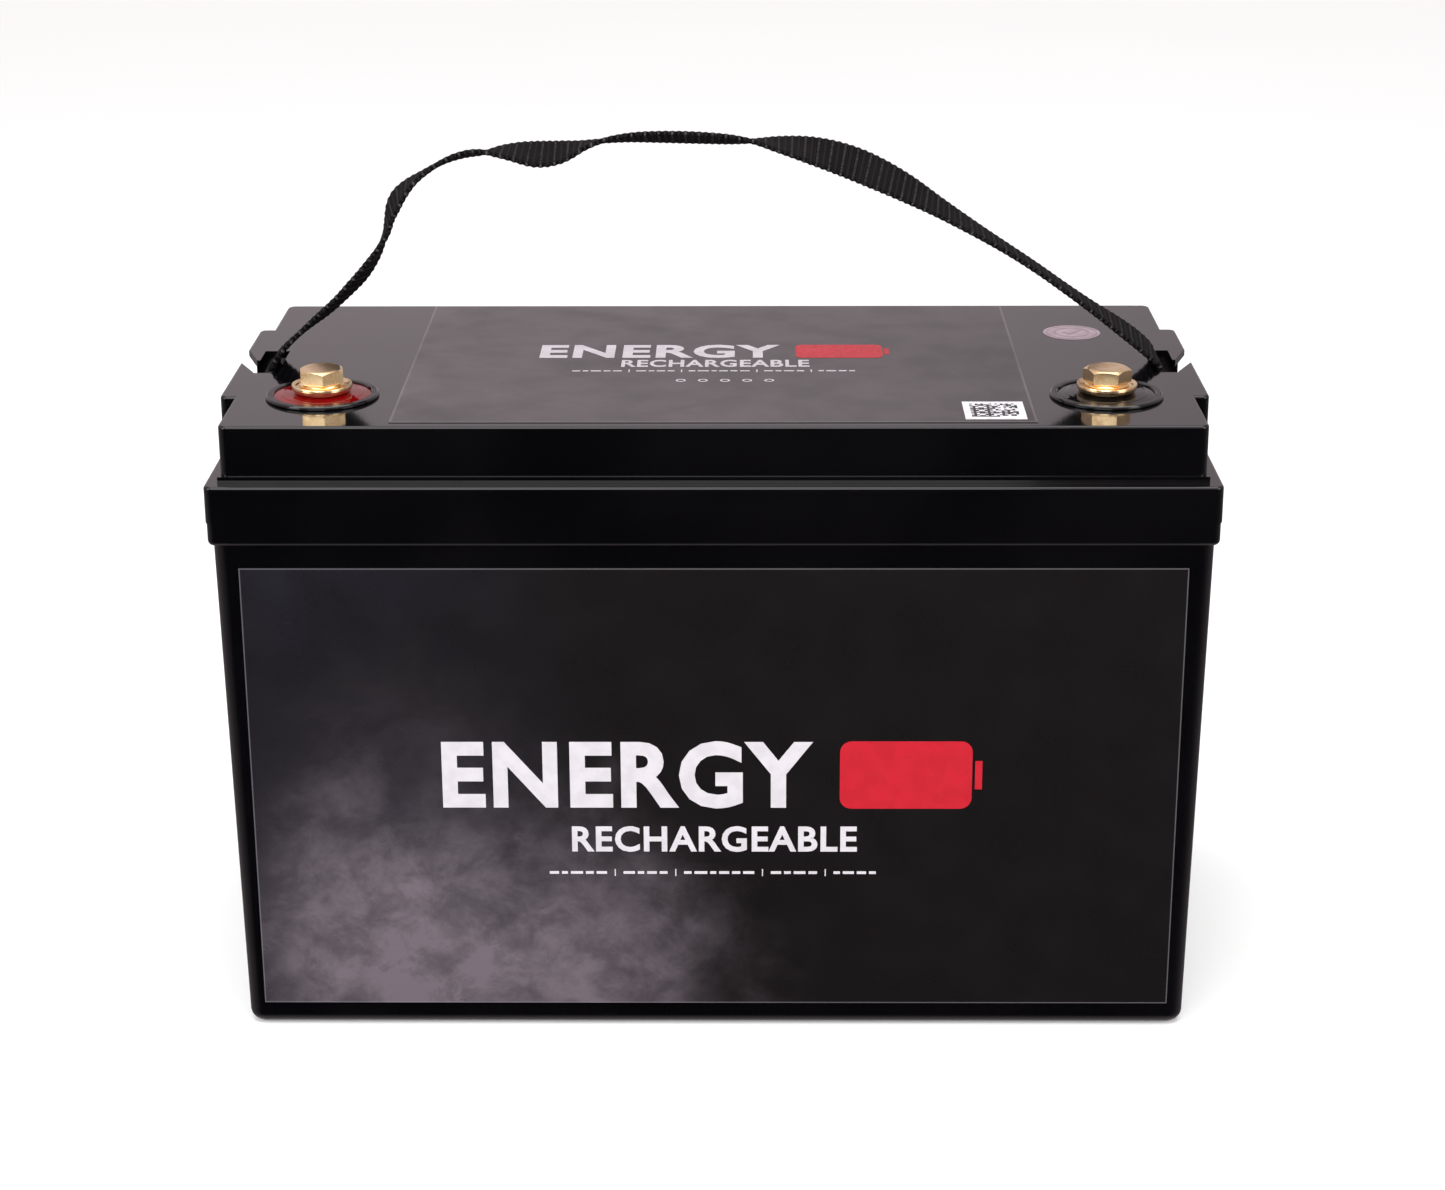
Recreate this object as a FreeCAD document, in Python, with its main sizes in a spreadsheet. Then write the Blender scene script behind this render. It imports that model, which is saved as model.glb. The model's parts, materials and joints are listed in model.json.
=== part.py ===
"""Sealed 12.8 V, 100 Ah battery: four upright prismatic cells, a management board and their
leads inside a glossy two-piece case, with two bolted terminals and a webbing carry strap.

Frame: millimetres, +Z up, +X to the right along the length, +Y to the back, origin at the
middle of the base.  The positive terminal is at -X and the negative one at +X, both near -Y.
"""
import FreeCAD, Part
import Sketcher
import math
import os
import re

Vector = FreeCAD.Vector

# ---------------------------------------------------------------- driving dimensions (mm)
DIMENSIONS = {
    # overall case and lid
    "flange_length": 330, "flange_depth": 172, "lid_top": 214,
    "block_length": 320, "block_depth": 162, "ear_half_depth": 45,
    "split_height": 182.5, "rim_bottom": 174.7, "flange_top": 195,
    "rim_length": 329.4, "rim_depth": 171.4,
    "base_length": 322, "base_depth": 164, "draft_angle": 0.82,
    "wall": 3, "body_corner": 6, "base_edge": 4, "block_corner": 3, "edge_round": 0.9,
    "rim_lip": 1.7, "plinth_height": 2.2, "plinth_out": 0.7,
    "seal_inset": 1.3, "seal_width": 1.6, "seal_height": 1.2,
    # strap pocket and hook-shaped slot in each end of the lid
    "pocket_half_width": 32, "pocket_floor": 197, "pocket_inner": 147.5, "plate": 2.5,
    "slot_inner": 150, "slot_outer": 158.6, "slot_half_width": 14.7,
    "mouth_back": 17.5, "mouth_front": -0.4, "slit_back": 2, "slit_front": -13.8,
    # terminals
    "terminal_pitch": 261.3, "terminal_offset": -44.2, "well_radius": 17.6, "boss_drop": 3,
    "terminal_boss_radius": 20,
    "ring_radius": 18.9, "ring_bore": 16.2, "ring_height": 1.3, "ring_groove": 0.2,
    "resin_depth": 1.9, "resin_edge": 0.7, "resin_rise": 1.7,
    "post_flange_radius": 10.1, "post_flange_thick": 2.75, "cup_depth": 0.75, "cup_lip": 0.7,
    "post_radius": 6, "post_foot": 197.5, "post_clearance": 0.05, "bore_radius": 4.05, "bore_depth": 16,
    "oring_section": 1.2, "oring_pitch_radius": 7.2,
    "washer_radius": 7.4, "washer_bore": 4.3, "washer_thick": 1.1, "washer_gap": 1,
    "bolt_radius": 4, "thread_depth": 0.7, "thread_pitch": 1.25, "thread_turns": 9,
    "bolt_length": 14.3, "head_flats": 14, "head_height": 5,
    "nut_flats": 19, "nut_height": 4.3, "lug_thick": 1.8,
    # labels
    "label_thick": 0.25, "top_label_length": 210, "top_label_front": -76.8, "top_label_back": 79,
    "front_label_length": 310, "front_label_bottom": 8.4, "front_label_top": 167,
    "data_sticker_length": 20, "data_sticker_depth": 20.7, "sticker_thick": 0.15,
    "sticker_margin": 3.1, "check_sticker_radius": 10.2, "check_sticker_x": 127.4, "check_sticker_y": 39.6,
    # carry strap
    "strap_width": 20, "strap_thick": 1.8, "strap_hinge_height": 225, "strap_gap": 1.6,
    "pin_radius": 2.5, "pin_length": 38, "pin_height": 204.6, "pin_offset": 154.3,
    "loop_clearance": 0.15,
    # cells and packing
    "cell_thick": 36.4, "cell_width": 130.3, "cell_height": 194, "cell_corner": 3, "can_wall": 0.8,
    "base_pad_thick": 2, "separator_thick": 0.8, "end_plate_thick": 3, "stack_centre": -26,
    "cell_stud_pitch": 90, "stud_radius": 3, "stud_height": 7.6, "stud_clearance": 0.1, "boss_radius": 8.5,
    "boss_height": 1.5, "vent_length": 16, "vent_width": 9, "band_width": 14, "band_thick": 0.6,
    "busbar_thick": 1.8, "busbar_width": 19, "busbar_nut_flats": 10, "busbar_nut_height": 3.6,
    "foam_top": 188, "cap_thick": 1.5, "stack_clearance": 2,
    # management board
    "board_x": 96, "board_thick": 1.6, "board_depth": 104, "board_height": 120,
    "transistor_pitch": 10, "transistor_width": 7.6, "transistor_height": 11, "transistor_thick": 4.4,
    "transistor_foot": 26, "transistor_row_pitch": 42,
    "heatsink_thick": 4, "heatsink_foot": 8, "heatsink_height": 94,
    "shunt_pitch": 24, "shunt_length": 18, "shunt_height": 8, "shunt_thick": 2.4, "shunt_foot": 50,
    "connector_width": 22, "connector_height": 8, "connector_thick": 5, "connector_drop": 4,
    "board_screw_radius": 1.5, "board_screw_head_radius": 2.8, "board_screw_head": 1.8,
    "board_screw_reach": 4.4,
    "power_cable_radius": 3.4, "lug_wall": 0.7, "lug_socket": 3, "lug_reach": 13, "lug_shoulder": 1.6,
    "lug_neck": 8, "post_lug_radius": 9.6, "cell_lug_radius": 8.4,
    "tie_section": 0.6, "tie_buckle": 4.4,
    "sense_wire_radius": 0.7, "sense_lane": 3.2, "sense_tab_width": 4, "sense_tab_length": 3.4,
    "sensor_radius": 1.6, "sensor_length": 6, "sensor_y": 18,
}

doc = FreeCAD.newDocument("drop_in_battery")
sheet = doc.addObject("Spreadsheet::Sheet", "Dims")
for row, (alias, value) in enumerate(DIMENSIONS.items(), start=1):
    sheet.set(f"A{row}", alias)
    sheet.set(f"B{row}", str(value))
    sheet.setAlias(f"B{row}", alias)
doc.recompute()

NODES = []          # the finished objects, one for each node that is written


# ---------------------------------------------------------------- helpers
def bound(expression):
    """The expression with each dimension's name pointed at its cell in the spreadsheet."""
    def cell(match):
        word = match.group(0)
        return f"Dims.{word}" if word in DIMENSIONS else word
    return re.sub(r"[a-z_][a-z_0-9]*", cell, str(expression))


def measure(expression):
    """The present value, in millimetres, of an expression of the dimensions."""
    return float(sheet.evalExpression(bound(expression)))


def bind(item, **expressions):
    for name, expression in expressions.items():
        item.setExpression(name.replace("__", "."), bound(expression))
    return item


def place(item, x=0, y=0, z=0, axis=None, angle=0):
    if axis is not None:
        item.Placement = FreeCAD.Placement(Vector(), FreeCAD.Rotation(axis, angle))
    bind(item, Placement__Base__x=x, Placement__Base__y=y, Placement__Base__z=z)
    return item


def node(item, label):
    item.Label = label
    NODES.append(item)
    return item


def box(name, x, y, z):
    """A box between pairs of expressions along X, Y and Z."""
    item = doc.addObject("Part::Box", name)
    for size, (low, high) in (("Length", x), ("Width", y), ("Height", z)):
        bind(item, **{size: f"({high}) - ({low})"})
    return place(item, x[0], y[0], z[0])


def cylinder(name, radius, height, x=0, y=0, z=0, axis=None, angle=0):
    item = doc.addObject("Part::Cylinder", name)
    bind(item, Radius=radius, Height=height)
    return place(item, x, y, z, axis, angle)


def hexagon(name, flats, height, x, y, z, turn=0):
    item = doc.addObject("Part::Prism", name)
    item.Polygon = 6
    bind(item, Circumradius=f"({flats}) / sqrt(3)", Height=height)
    return place(item, x, y, z, Vector(0, 0, 1), turn)


def cut(name, base, *tools):
    item = doc.addObject("Part::Cut", name)
    item.Base = base
    item.Tool = tools[0] if len(tools) == 1 else fuse(name + "_tools", *tools)
    return item


def fuse(name, *shapes):
    item = doc.addObject("Part::MultiFuse", name)
    item.Shapes = list(shapes)
    return item


def group(name, *shapes):
    item = doc.addObject("Part::Compound", name)
    item.Links = list(shapes)
    return item


def rounded(name, base, radius, wanted):
    """Round the edges of base that wanted(edge) picks."""
    doc.recompute()
    item = doc.addObject("Part::Fillet", name)
    item.Base = base
    size = measure(radius)
    item.Edges = [(i, size, size) for i, edge in enumerate(base.Shape.Edges, 1) if wanted(edge)]
    return item


def upright(edge):
    """True for a straight edge within a few degrees of vertical."""
    if len(edge.Vertexes) != 2:
        return False
    run = edge.Vertexes[1].Point - edge.Vertexes[0].Point
    return run.Length > 1 and abs(run.z) > 0.99 * run.Length


def at_height(height):
    """A test for edges that lie flat at a height."""
    level = measure(height)

    def wanted(edge):
        return abs(edge.BoundBox.ZMin - level) < 0.01 and abs(edge.BoundBox.ZMax - level) < 0.01
    return wanted


def body(name):
    return doc.addObject("PartDesign::Body", name)


def origin_plane(owner, role):
    return next(item for item in owner.Origin.OriginFeatures if item.Role == role)


def sketch(owner, name, role, height=0):
    """An empty sketch on one of the body's own planes, raised along the plane's normal."""
    item = owner.newObject("Sketcher::SketchObject", name)
    item.AttachmentSupport = [(origin_plane(owner, role), "")]
    item.MapMode = "FlatFace"
    bind(item, AttachmentOffset__Base__z=height)
    return item


def pin(item, way, geometry, point, expression, value):
    """Hold one coordinate of a sketch point at an expression, measured from the origin."""
    number = item.addConstraint(Sketcher.Constraint(way, -1, 1, geometry, point, value))
    item.setExpression(f"Constraints[{number}]", bound(expression))


def outline(owner, name, role, *loops, height=0):
    """Closed polygons whose corners are pairs of expressions, each pinned to the sheet."""
    item = sketch(owner, name, role, height)
    for points in loops:
        spots = [(measure(u), measure(v)) for u, v in points]
        first = item.GeometryCount
        count = len(points)
        for (u, v), (far_u, far_v) in zip(spots, spots[1:] + spots[:1]):
            item.addGeometry(Part.LineSegment(Vector(u, v, 0), Vector(far_u, far_v, 0)), False)
        for index in range(count):
            following = first + (index + 1) % count
            item.addConstraint(Sketcher.Constraint("Coincident", first + index, 2, following, 1))
        for index, (u, v) in enumerate(points):
            pin(item, "DistanceX", first + index, 1, u, spots[index][0])
            pin(item, "DistanceY", first + index, 1, v, spots[index][1])
    return item


def corners(x, y):
    """The four corners of a rectangle between pairs of expressions."""
    return [(x[0], y[0]), (x[1], y[0]), (x[1], y[1]), (x[0], y[1])]


def centred(size):
    """The pair of expressions of a span centred on zero."""
    return (f"-({size}) / 2", f"({size}) / 2")


def rectangle(owner, name, x, y, height=0):
    return outline(owner, name, "XY_Plane", corners(x, y), height=height)


def discs(owner, name, spots, radius, height=0):
    """Equal circles on the XY plane, centred on pairs of expressions."""
    item = sketch(owner, name, "XY_Plane", height)
    for index, (x, y) in enumerate(spots):
        centre = Vector(measure(x), measure(y), 0)
        item.addGeometry(Part.Circle(centre, Vector(0, 0, 1), measure(radius)), False)
        pin(item, "DistanceX", index, 3, x, centre.x)
        pin(item, "DistanceY", index, 3, y, centre.y)
        number = item.addConstraint(Sketcher.Constraint("Radius", index, measure(radius)))
        item.setExpression(f"Constraints[{number}]", bound(radius))
    return item


def pad(owner, name, profile, length, taper=None):
    item = owner.newObject("PartDesign::Pad", name)
    item.Profile = profile
    bind(item, Length=length)
    if taper is not None:
        bind(item, TaperAngle=taper)
    return item


def pocket(owner, name, profile, length, reversed_way=False, taper=None):
    """A pocket downwards from its sketch, or upwards when reversed, checked to remove material."""
    doc.recompute()
    before = owner.Shape.Volume
    item = owner.newObject("PartDesign::Pocket", name)
    item.Profile = profile
    item.Reversed = reversed_way
    bind(item, Length=length)
    if taper is not None:
        bind(item, TaperAngle=taper)
    doc.recompute()
    if owner.Shape.Volume > before - 1:
        raise RuntimeError(f"{name} cuts nothing")
    return item


def fillet(owner, name, radius, wanted):
    doc.recompute()
    last = owner.Tip
    picked = [f"Edge{i}" for i, edge in enumerate(last.Shape.Edges, 1) if wanted(edge)]
    item = owner.newObject("PartDesign::Fillet", name)
    item.Base = (last, picked)
    bind(item, Radius=radius)
    doc.recompute()
    return item


def revolved(name, points, x=0, y=0, z=0):
    """A body turned about its own Z axis from a profile of (radius, height) expressions."""
    owner = body(name)
    profile = outline(owner, name + "_profile", "XZ_Plane", points)
    turned = owner.newObject("PartDesign::Revolution", name + "_turned")
    turned.Profile = profile
    turned.ReferenceAxis = (profile, ["V_Axis"])
    turned.Angle = 360
    place(owner, x, y, z)
    return owner


def bent_path(points):
    """Straight runs joined by tangent arcs, with each arc as large as its two runs allow."""
    spots = [Vector(*point) for point in points]
    edges = []
    radii = []
    start = spots[0]
    for before, corner, after in zip(spots, spots[1:], spots[2:]):
        into = corner - before
        out = after - corner
        turn = into.getAngle(out)
        reach = 0.45 * min(into.Length, out.Length)
        radii.append(reach / math.tan(turn / 2))
        first = corner - into.normalize() * reach
        last = corner + out.normalize() * reach
        inward = (first + last) * 0.5 - corner
        middle = corner + inward.normalize() * (radii[-1] / math.cos(turn / 2) - radii[-1])
        edges.append(Part.LineSegment(start, first).toShape())
        edges.append(Part.Arc(first, middle, last).toShape())
        start = last
    edges.append(Part.LineSegment(start, spots[-1]).toShape())
    return Part.Wire(edges), radii


def swept(name, points, section):
    """A solid of one section along a bent path; the section is made by section(place, direction)."""
    path, radii = bent_path(points)
    start = Vector(*points[0])
    ahead = (Vector(*points[1]) - start).normalize()
    profile = section(start, ahead)
    shape = path.makePipeShell([profile], True, False)
    area = Part.Face(profile).Area
    ratio = shape.Volume / (area * path.Length)
    print(f"{name}: length {path.Length:.1f}, volume ratio {ratio:.3f}, radii",
          " ".join(f"{radius:.0f}" for radius in radii))
    if abs(ratio - 1) > 0.03:
        raise RuntimeError(f"{name} has the wrong volume for its length")
    return shape


def round_section(radius):
    def make(start, ahead):
        return Part.Wire([Part.Circle(start, ahead, measure(radius)).toShape()])
    return make


def band_section(start, ahead):
    """The strap's cross section: its width along Y, its thickness across the path."""
    half_width = Vector(0, measure("strap_width") / 2, 0)
    half_thick = ahead.cross(Vector(0, 1, 0)) * (measure("strap_thick") / 2)
    corners = [start + half_width + half_thick, start - half_width + half_thick,
               start - half_width - half_thick, start + half_width - half_thick]
    return Part.makePolygon(corners + corners[:1])


def feature(name, shape):
    """A finished shape kept as one object of the document."""
    item = doc.addObject("Part::Feature", name)
    item.Shape = shape
    return item


# ---------------------------------------------------------------- shared places
SIDES = {"positive": -1, "negative": 1}             # terminal polarity to its end of the case
ENDS = {"left": -1, "right": 1}
TERMINALS = [(f"{side} * terminal_pitch / 2", "terminal_offset") for side in SIDES.values()]
CELLS = range(1, 5)
CELL_FOOT = "wall + base_pad_thick"
CELL_TOP = f"{CELL_FOOT} + cell_height"
POST_TOP = "lid_top + resin_rise + post_flange_thick"
SEAT = f"{POST_TOP} - cup_depth"                    # where the spring washer sits in the post's cup
BOSS_FOOT = "lid_top - wall - boss_drop"
LUG_SEAT = f"{CELL_TOP} + boss_height"
CABLE_HEIGHT = f"{LUG_SEAT} + 3.3"


def cell_x(number):
    """The middle of a cell along the stack."""
    return f"stack_centre + ({number} - 2.5) * (cell_thick + separator_thick)"


# ---------------------------------------------------------------- case and lid
def make_case():
    owner = body("case_tub")
    pad(owner, "case_walls", rectangle(owner, "case_base", centred("base_length"), centred("base_depth")),
        "rim_bottom + 1", taper="draft_angle")
    fillet(owner, "case_corners", "body_corner", upright)
    fillet(owner, "case_base_edge", "base_edge", at_height(0))
    rim = rectangle(owner, "rim_shape", centred("rim_length"), centred("rim_depth"), "rim_bottom")
    pad(owner, "case_rim", rim, "split_height - rim_bottom")
    rim_edge = measure("rim_length / 2 - 0.1")
    fillet(owner, "rim_corners", "block_corner",
           lambda edge: upright(edge) and abs(edge.Vertexes[0].Point.x) > rim_edge)
    outside = measure("base_depth / 2 + 3")
    fillet(owner, "rim_lower_edge", "rim_lip",
           lambda edge: at_height("rim_bottom")(edge) and edge.BoundBox.YMax > outside)
    hollow = rectangle(owner, "hollow_base", centred("base_length - 2 * wall"),
                       centred("base_depth - 2 * wall"), "wall")
    pocket(owner, "case_hollow", hollow, "split_height - wall + 1", True, "draft_angle")
    inside = measure("base_length / 2")
    fillet(owner, "hollow_corners", "body_corner - wall",
           lambda edge: upright(edge) and abs(edge.Vertexes[0].Point.x) < inside
           and edge.BoundBox.ZLength > 100)
    groove = seal_sketch(owner, "seal_groove_shape", "split_height")
    pocket(owner, "seal_groove", groove, "seal_height / 2")
    node(owner, "case")


def seal_sketch(owner, name, height):
    """The rectangular ring that the seal follows along the top of the rim."""
    loops = [corners(centred(f"rim_length - 2 * ({inset})"), centred(f"rim_depth - 2 * ({inset})"))
             for inset in ("seal_inset", "seal_inset + seal_width")]
    return outline(owner, name, "XY_Plane", *loops, height=height)


def make_seal():
    owner = body("seal_ring")
    ring = seal_sketch(owner, "seal_shape", "split_height - seal_height / 2")
    pad(owner, "seal_bead", ring, "seal_height")
    node(owner, "lid_seal")


def slot_outline(end):
    """The strap slot with the slanted mouth that the webbing is slipped in through.

    Both mouth edges run on past the lid's end face, so the mouth is open there."""
    past = "1.5"
    front_rise = f"{past} * (mouth_front - slit_front) / (flange_length / 2 - slot_outer)"
    finger_foot = "slot_outer + 1.1"
    back_rise = f"{past} * (mouth_back - slit_back) / (flange_length / 2 - ({finger_foot}))"
    plan = [("slot_inner", "-slot_half_width"), ("slot_outer", "-slot_half_width"),
            ("slot_outer", "slit_front"),
            (f"flange_length / 2 + {past}", f"mouth_front + {front_rise}"),
            (f"flange_length / 2 + {past}", f"mouth_back + {back_rise}"),
            (finger_foot, "slit_back"), ("slot_outer", "slit_back"),
            ("slot_outer", "slot_half_width"), ("slot_inner", "slot_half_width")]
    return [(f"{end} * ({x})", y) for x, y in plan]


def make_lid():
    owner = body("lid_shell")
    block_rise = "lid_top - flange_top"
    pad(owner, "lid_band", rectangle(owner, "band_shape", centred("flange_length"),
                                     centred("flange_depth"), "split_height"),
        "flange_top - split_height")
    edge_x = measure("flange_length / 2 - 0.1")
    fillet(owner, "band_corners", "block_corner", upright)
    fillet(owner, "band_top_edge", "edge_round", at_height("flange_top"))
    pad(owner, "lid_block", rectangle(owner, "block_shape", centred("block_length"),
                                      centred("block_depth"), "flange_top"), block_rise)
    low = measure("flange_top")
    fillet(owner, "block_corners", "block_corner",
           lambda edge: upright(edge) and edge.BoundBox.ZMin > low - 0.01)
    ears = rectangle(owner, "ear_shape", centred("flange_length"), centred("2 * ear_half_depth"),
                     "flange_top - edge_round")
    pad(owner, "lid_ears", ears, f"{block_rise} + edge_round")
    fillet(owner, "ear_corners", "block_corner * 0.8",
           lambda edge: upright(edge) and edge.BoundBox.ZMin > low - 2
           and abs(edge.Vertexes[0].Point.x) > edge_x)
    plinth = rectangle(owner, "plinth_shape", centred("block_length + 2 * plinth_out"),
                       centred("block_depth + 2 * plinth_out"), "flange_top - edge_round")
    pad(owner, "block_plinth", plinth, "plinth_height + edge_round")
    fillet(owner, "block_top_edge", "edge_round", at_height("lid_top"))

    skirt = rectangle(owner, "skirt_hollow_shape", centred("rim_length - 2 * wall - 2.2"),
                      centred("rim_depth - 2 * wall - 2.2"), "split_height")
    pocket(owner, "skirt_hollow", skirt, "flange_top - wall - split_height", True)
    side = ("block_length / 2 - wall", "block_depth / 2 - wall")
    bay = ("pocket_inner - plate", "pocket_half_width + plate")
    quarter = [(side[0], side[1]), (side[0], bay[1]), (bay[0], bay[1])]
    plan = [(f"{sx} * ({x})", f"{sy} * ({y})")
            for sx, sy, order in ((1, 1, 1), (1, -1, -1), (-1, -1, 1), (-1, 1, -1))
            for x, y in quarter[::order]]
    hollow = outline(owner, "block_hollow_shape", "XY_Plane", plan, height="split_height")
    pocket(owner, "block_hollow", hollow, "lid_top - wall - split_height", True)

    groove = seal_sketch(owner, "lid_groove_shape", "split_height")
    pocket(owner, "lid_groove", groove, "seal_height / 2", True)
    bosses = discs(owner, "terminal_boss_shape", TERMINALS, "terminal_boss_radius", BOSS_FOOT)
    pad(owner, "terminal_bosses", bosses, "boss_drop + 0.5")
    bays = [corners((f"{end} * pocket_inner", f"{end} * (flange_length / 2 + 2)"),
                    centred("2 * pocket_half_width")) for end in ENDS.values()]
    recess = outline(owner, "strap_bay_shape", "XY_Plane", *bays, height="pocket_floor")
    pocket(owner, "strap_bays", recess, "lid_top - plate - pocket_floor", True)
    slots = outline(owner, "strap_slot_shape", "XY_Plane",
                    *[slot_outline(end) for end in ENDS.values()], height="lid_top")
    pocket(owner, "strap_slots", slots, "plate + 0.5")
    for name, radius, depth in (("terminal_wells", "well_radius", "resin_depth"),
                                ("oring_seats", "oring_pitch_radius + oring_section / 2",
                                 "resin_depth + oring_section"),
                                ("post_holes", "post_radius + post_clearance", "wall + boss_drop + 1")):
        pocket(owner, name, discs(owner, name + "_shape", TERMINALS, radius, "lid_top"), depth)
    node(owner, "lid")


def make_labels():
    node(box("top_label_sheet", centred("top_label_length"), ("top_label_front", "top_label_back"),
             ("lid_top", "lid_top + label_thick")), "top_label")
    front = doc.addObject("Part::Box", "front_label_sheet")
    bind(front, Length="front_label_length", Width="label_thick",
         Height="front_label_top - front_label_bottom")
    front.Placement = FreeCAD.Placement(Vector(), FreeCAD.Rotation(Vector(1, 0, 0), measure("draft_angle")))
    lean = "front_label_bottom * sin(draft_angle) + (label_thick + 0.02) * cos(draft_angle)"
    bind(front, Placement__Base__x="-front_label_length / 2",
         Placement__Base__y=f"-base_depth / 2 - ({lean})", Placement__Base__z="front_label_bottom")
    node(front, "front_label")
    corner_x = "top_label_length / 2 - sticker_margin"
    corner_y = "top_label_front + sticker_margin"
    node(box("data_sticker_sheet", (f"{corner_x} - data_sticker_length", corner_x),
             (corner_y, f"{corner_y} + data_sticker_depth"),
             ("lid_top + label_thick", "lid_top + label_thick + sticker_thick")), "data_sticker")
    node(cylinder("check_sticker_disc", "check_sticker_radius", "sticker_thick",
                  "check_sticker_x", "check_sticker_y", "lid_top"), "check_sticker")


# ---------------------------------------------------------------- terminals
HEAD_TURN = {"positive": 40, "negative": 50}      # degrees, as the two bolts were tightened
SPLIT_TURN = {"positive": 75, "negative": 110}      # where each spring washer's gap faces


def thread_profile():
    """The bolt's shank from its tip upwards, each turn of thread as one ridge."""
    points = [("0", "-bolt_length"), ("bolt_radius - thread_depth", "-bolt_length")]
    for turn in range(DIMENSIONS["thread_turns"]):
        foot = f"-bolt_length + 0.4 + {turn} * thread_pitch"
        points.append(("bolt_radius", f"{foot} + thread_pitch / 2"))
        points.append(("bolt_radius - thread_depth", f"{foot} + thread_pitch"))
    return points + [("bolt_radius - thread_depth", "0"), ("0", "0")]


def make_terminal(polarity, side):
    x = f"{side} * terminal_pitch / 2"
    y = "terminal_offset"
    ring_top = "ring_height"
    groove = "ring_height - ring_groove"
    ring = revolved(f"ring_{polarity}", [
        ("ring_bore", "0"), ("ring_radius - 0.3", "0"), ("ring_radius", "0.3"),
        ("ring_radius", "ring_height - 0.6"), ("ring_radius - 0.2", "ring_height - 0.25"),
        ("ring_radius - 0.6", ring_top), ("ring_radius - 1", ring_top), ("ring_radius - 1.15", groove),
        ("ring_radius - 1.3", ring_top), ("ring_radius - 1.75", ring_top), ("ring_radius - 1.9", groove),
        ("ring_radius - 2.05", ring_top), ("ring_bore + 0.35", ring_top),
        ("ring_bore", "ring_height - 0.35")], x, y, "lid_top")
    node(ring, f"terminal_ring_{polarity}")

    flange = "post_flange_radius"
    hole = "post_radius + post_clearance"
    resin = revolved(f"resin_{polarity}_disc", [
        (hole, "-resin_depth"), ("well_radius", "-resin_depth"), ("well_radius", "0"),
        ("ring_bore", "0"), ("ring_bore", "resin_edge"), ("ring_bore - 0.7", "resin_edge + 0.18"),
        ("ring_bore - 2.4", "resin_edge + 0.36"), (f"({flange} + ring_bore) / 2", "resin_edge + 0.52"),
        (f"{flange} - 0.2", "resin_rise - 0.2"), (f"{flange} - 0.9", "resin_rise"),
        (hole, "resin_rise")], x, y, "lid_top")
    node(resin, f"resin_{polarity}")

    rim = "resin_rise + post_flange_thick"
    dish = f"{rim} - cup_depth"
    inside = f"{flange} - 0.15 - cup_lip"
    post = revolved(f"post_{polarity}_turned", [
        ("0", "post_foot - lid_top"), ("post_radius - 0.6", "post_foot - lid_top"),
        ("post_radius", "post_foot - lid_top + 0.6"), ("post_radius", "resin_rise"),
        (f"{flange} - 1.3", "resin_rise"), (f"{flange} - 0.65", "resin_rise + 0.45"),
        (f"{flange} - 0.2", "resin_rise + 1.05"), (flange, "resin_rise + 1.8"),
        (f"{flange} - 0.05", f"{rim} - 0.35"), (f"{flange} - 0.15", rim),
        (inside, rim), (f"{inside} - 0.4", f"{dish} + 0.25"), (f"{inside} - 0.9", dish),
        ("bore_radius + 0.4", dish), ("bore_radius", f"{dish} - 0.4"),
        ("bore_radius", f"{rim} - bore_depth"), ("0", f"{rim} - bore_depth - 1.5")], x, y, "lid_top")
    node(post, f"terminal_post_{polarity}")

    half = "washer_thick / 2"
    washer = revolved(f"washer_{polarity}_ring", [
        ("washer_bore + 0.3", "0"), ("washer_radius - 0.4", "0"), ("washer_radius", "0.4"),
        ("washer_radius", "washer_thick - 0.4"), ("washer_radius - 0.4", "washer_thick"),
        ("washer_bore + 0.3", "washer_thick"), ("washer_bore", half)], x, y, SEAT)
    split = doc.addObject("Part::Box", f"washer_{polarity}_split")
    bind(split, Length="washer_radius", Width="washer_gap", Height="washer_thick + 2")
    turn = SPLIT_TURN[polarity]
    place(split, f"{x} + 2 * cos({turn}) + washer_gap / 2 * sin({turn})",
          f"{y} + 2 * sin({turn}) - washer_gap / 2 * cos({turn})", f"{SEAT} - 1", Vector(0, 0, 1), turn)
    node(cut(f"washer_{polarity}_cut", washer, split), f"spring_washer_{polarity}")

    head_foot = f"{SEAT} + washer_thick"
    corner = "head_flats / sqrt(3)"
    blank = revolved(f"head_{polarity}_blank", [
        ("0", "0"), ("head_flats / 2 - 0.1", "0"), ("head_flats / 2 + 0.1", "0.3"), (corner, "0.5"),
        (corner, "head_height - 0.9"), ("head_flats / 2 - 0.3", "head_height - 0.15"),
        ("head_flats / 2 - 0.7", "head_height"), ("0", "head_height")], x, y, head_foot)
    faces = hexagon(f"head_{polarity}_hexagon", "head_flats", "head_height", x, y, head_foot,
                    turn=HEAD_TURN[polarity])
    head = doc.addObject("Part::Common", f"head_{polarity}")
    head.Base = blank
    head.Tool = faces
    shank = revolved(f"shank_{polarity}", thread_profile(), x, y, head_foot)
    node(fuse(f"bolt_{polarity}_whole", head, shank), f"bolt_{polarity}")


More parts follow.
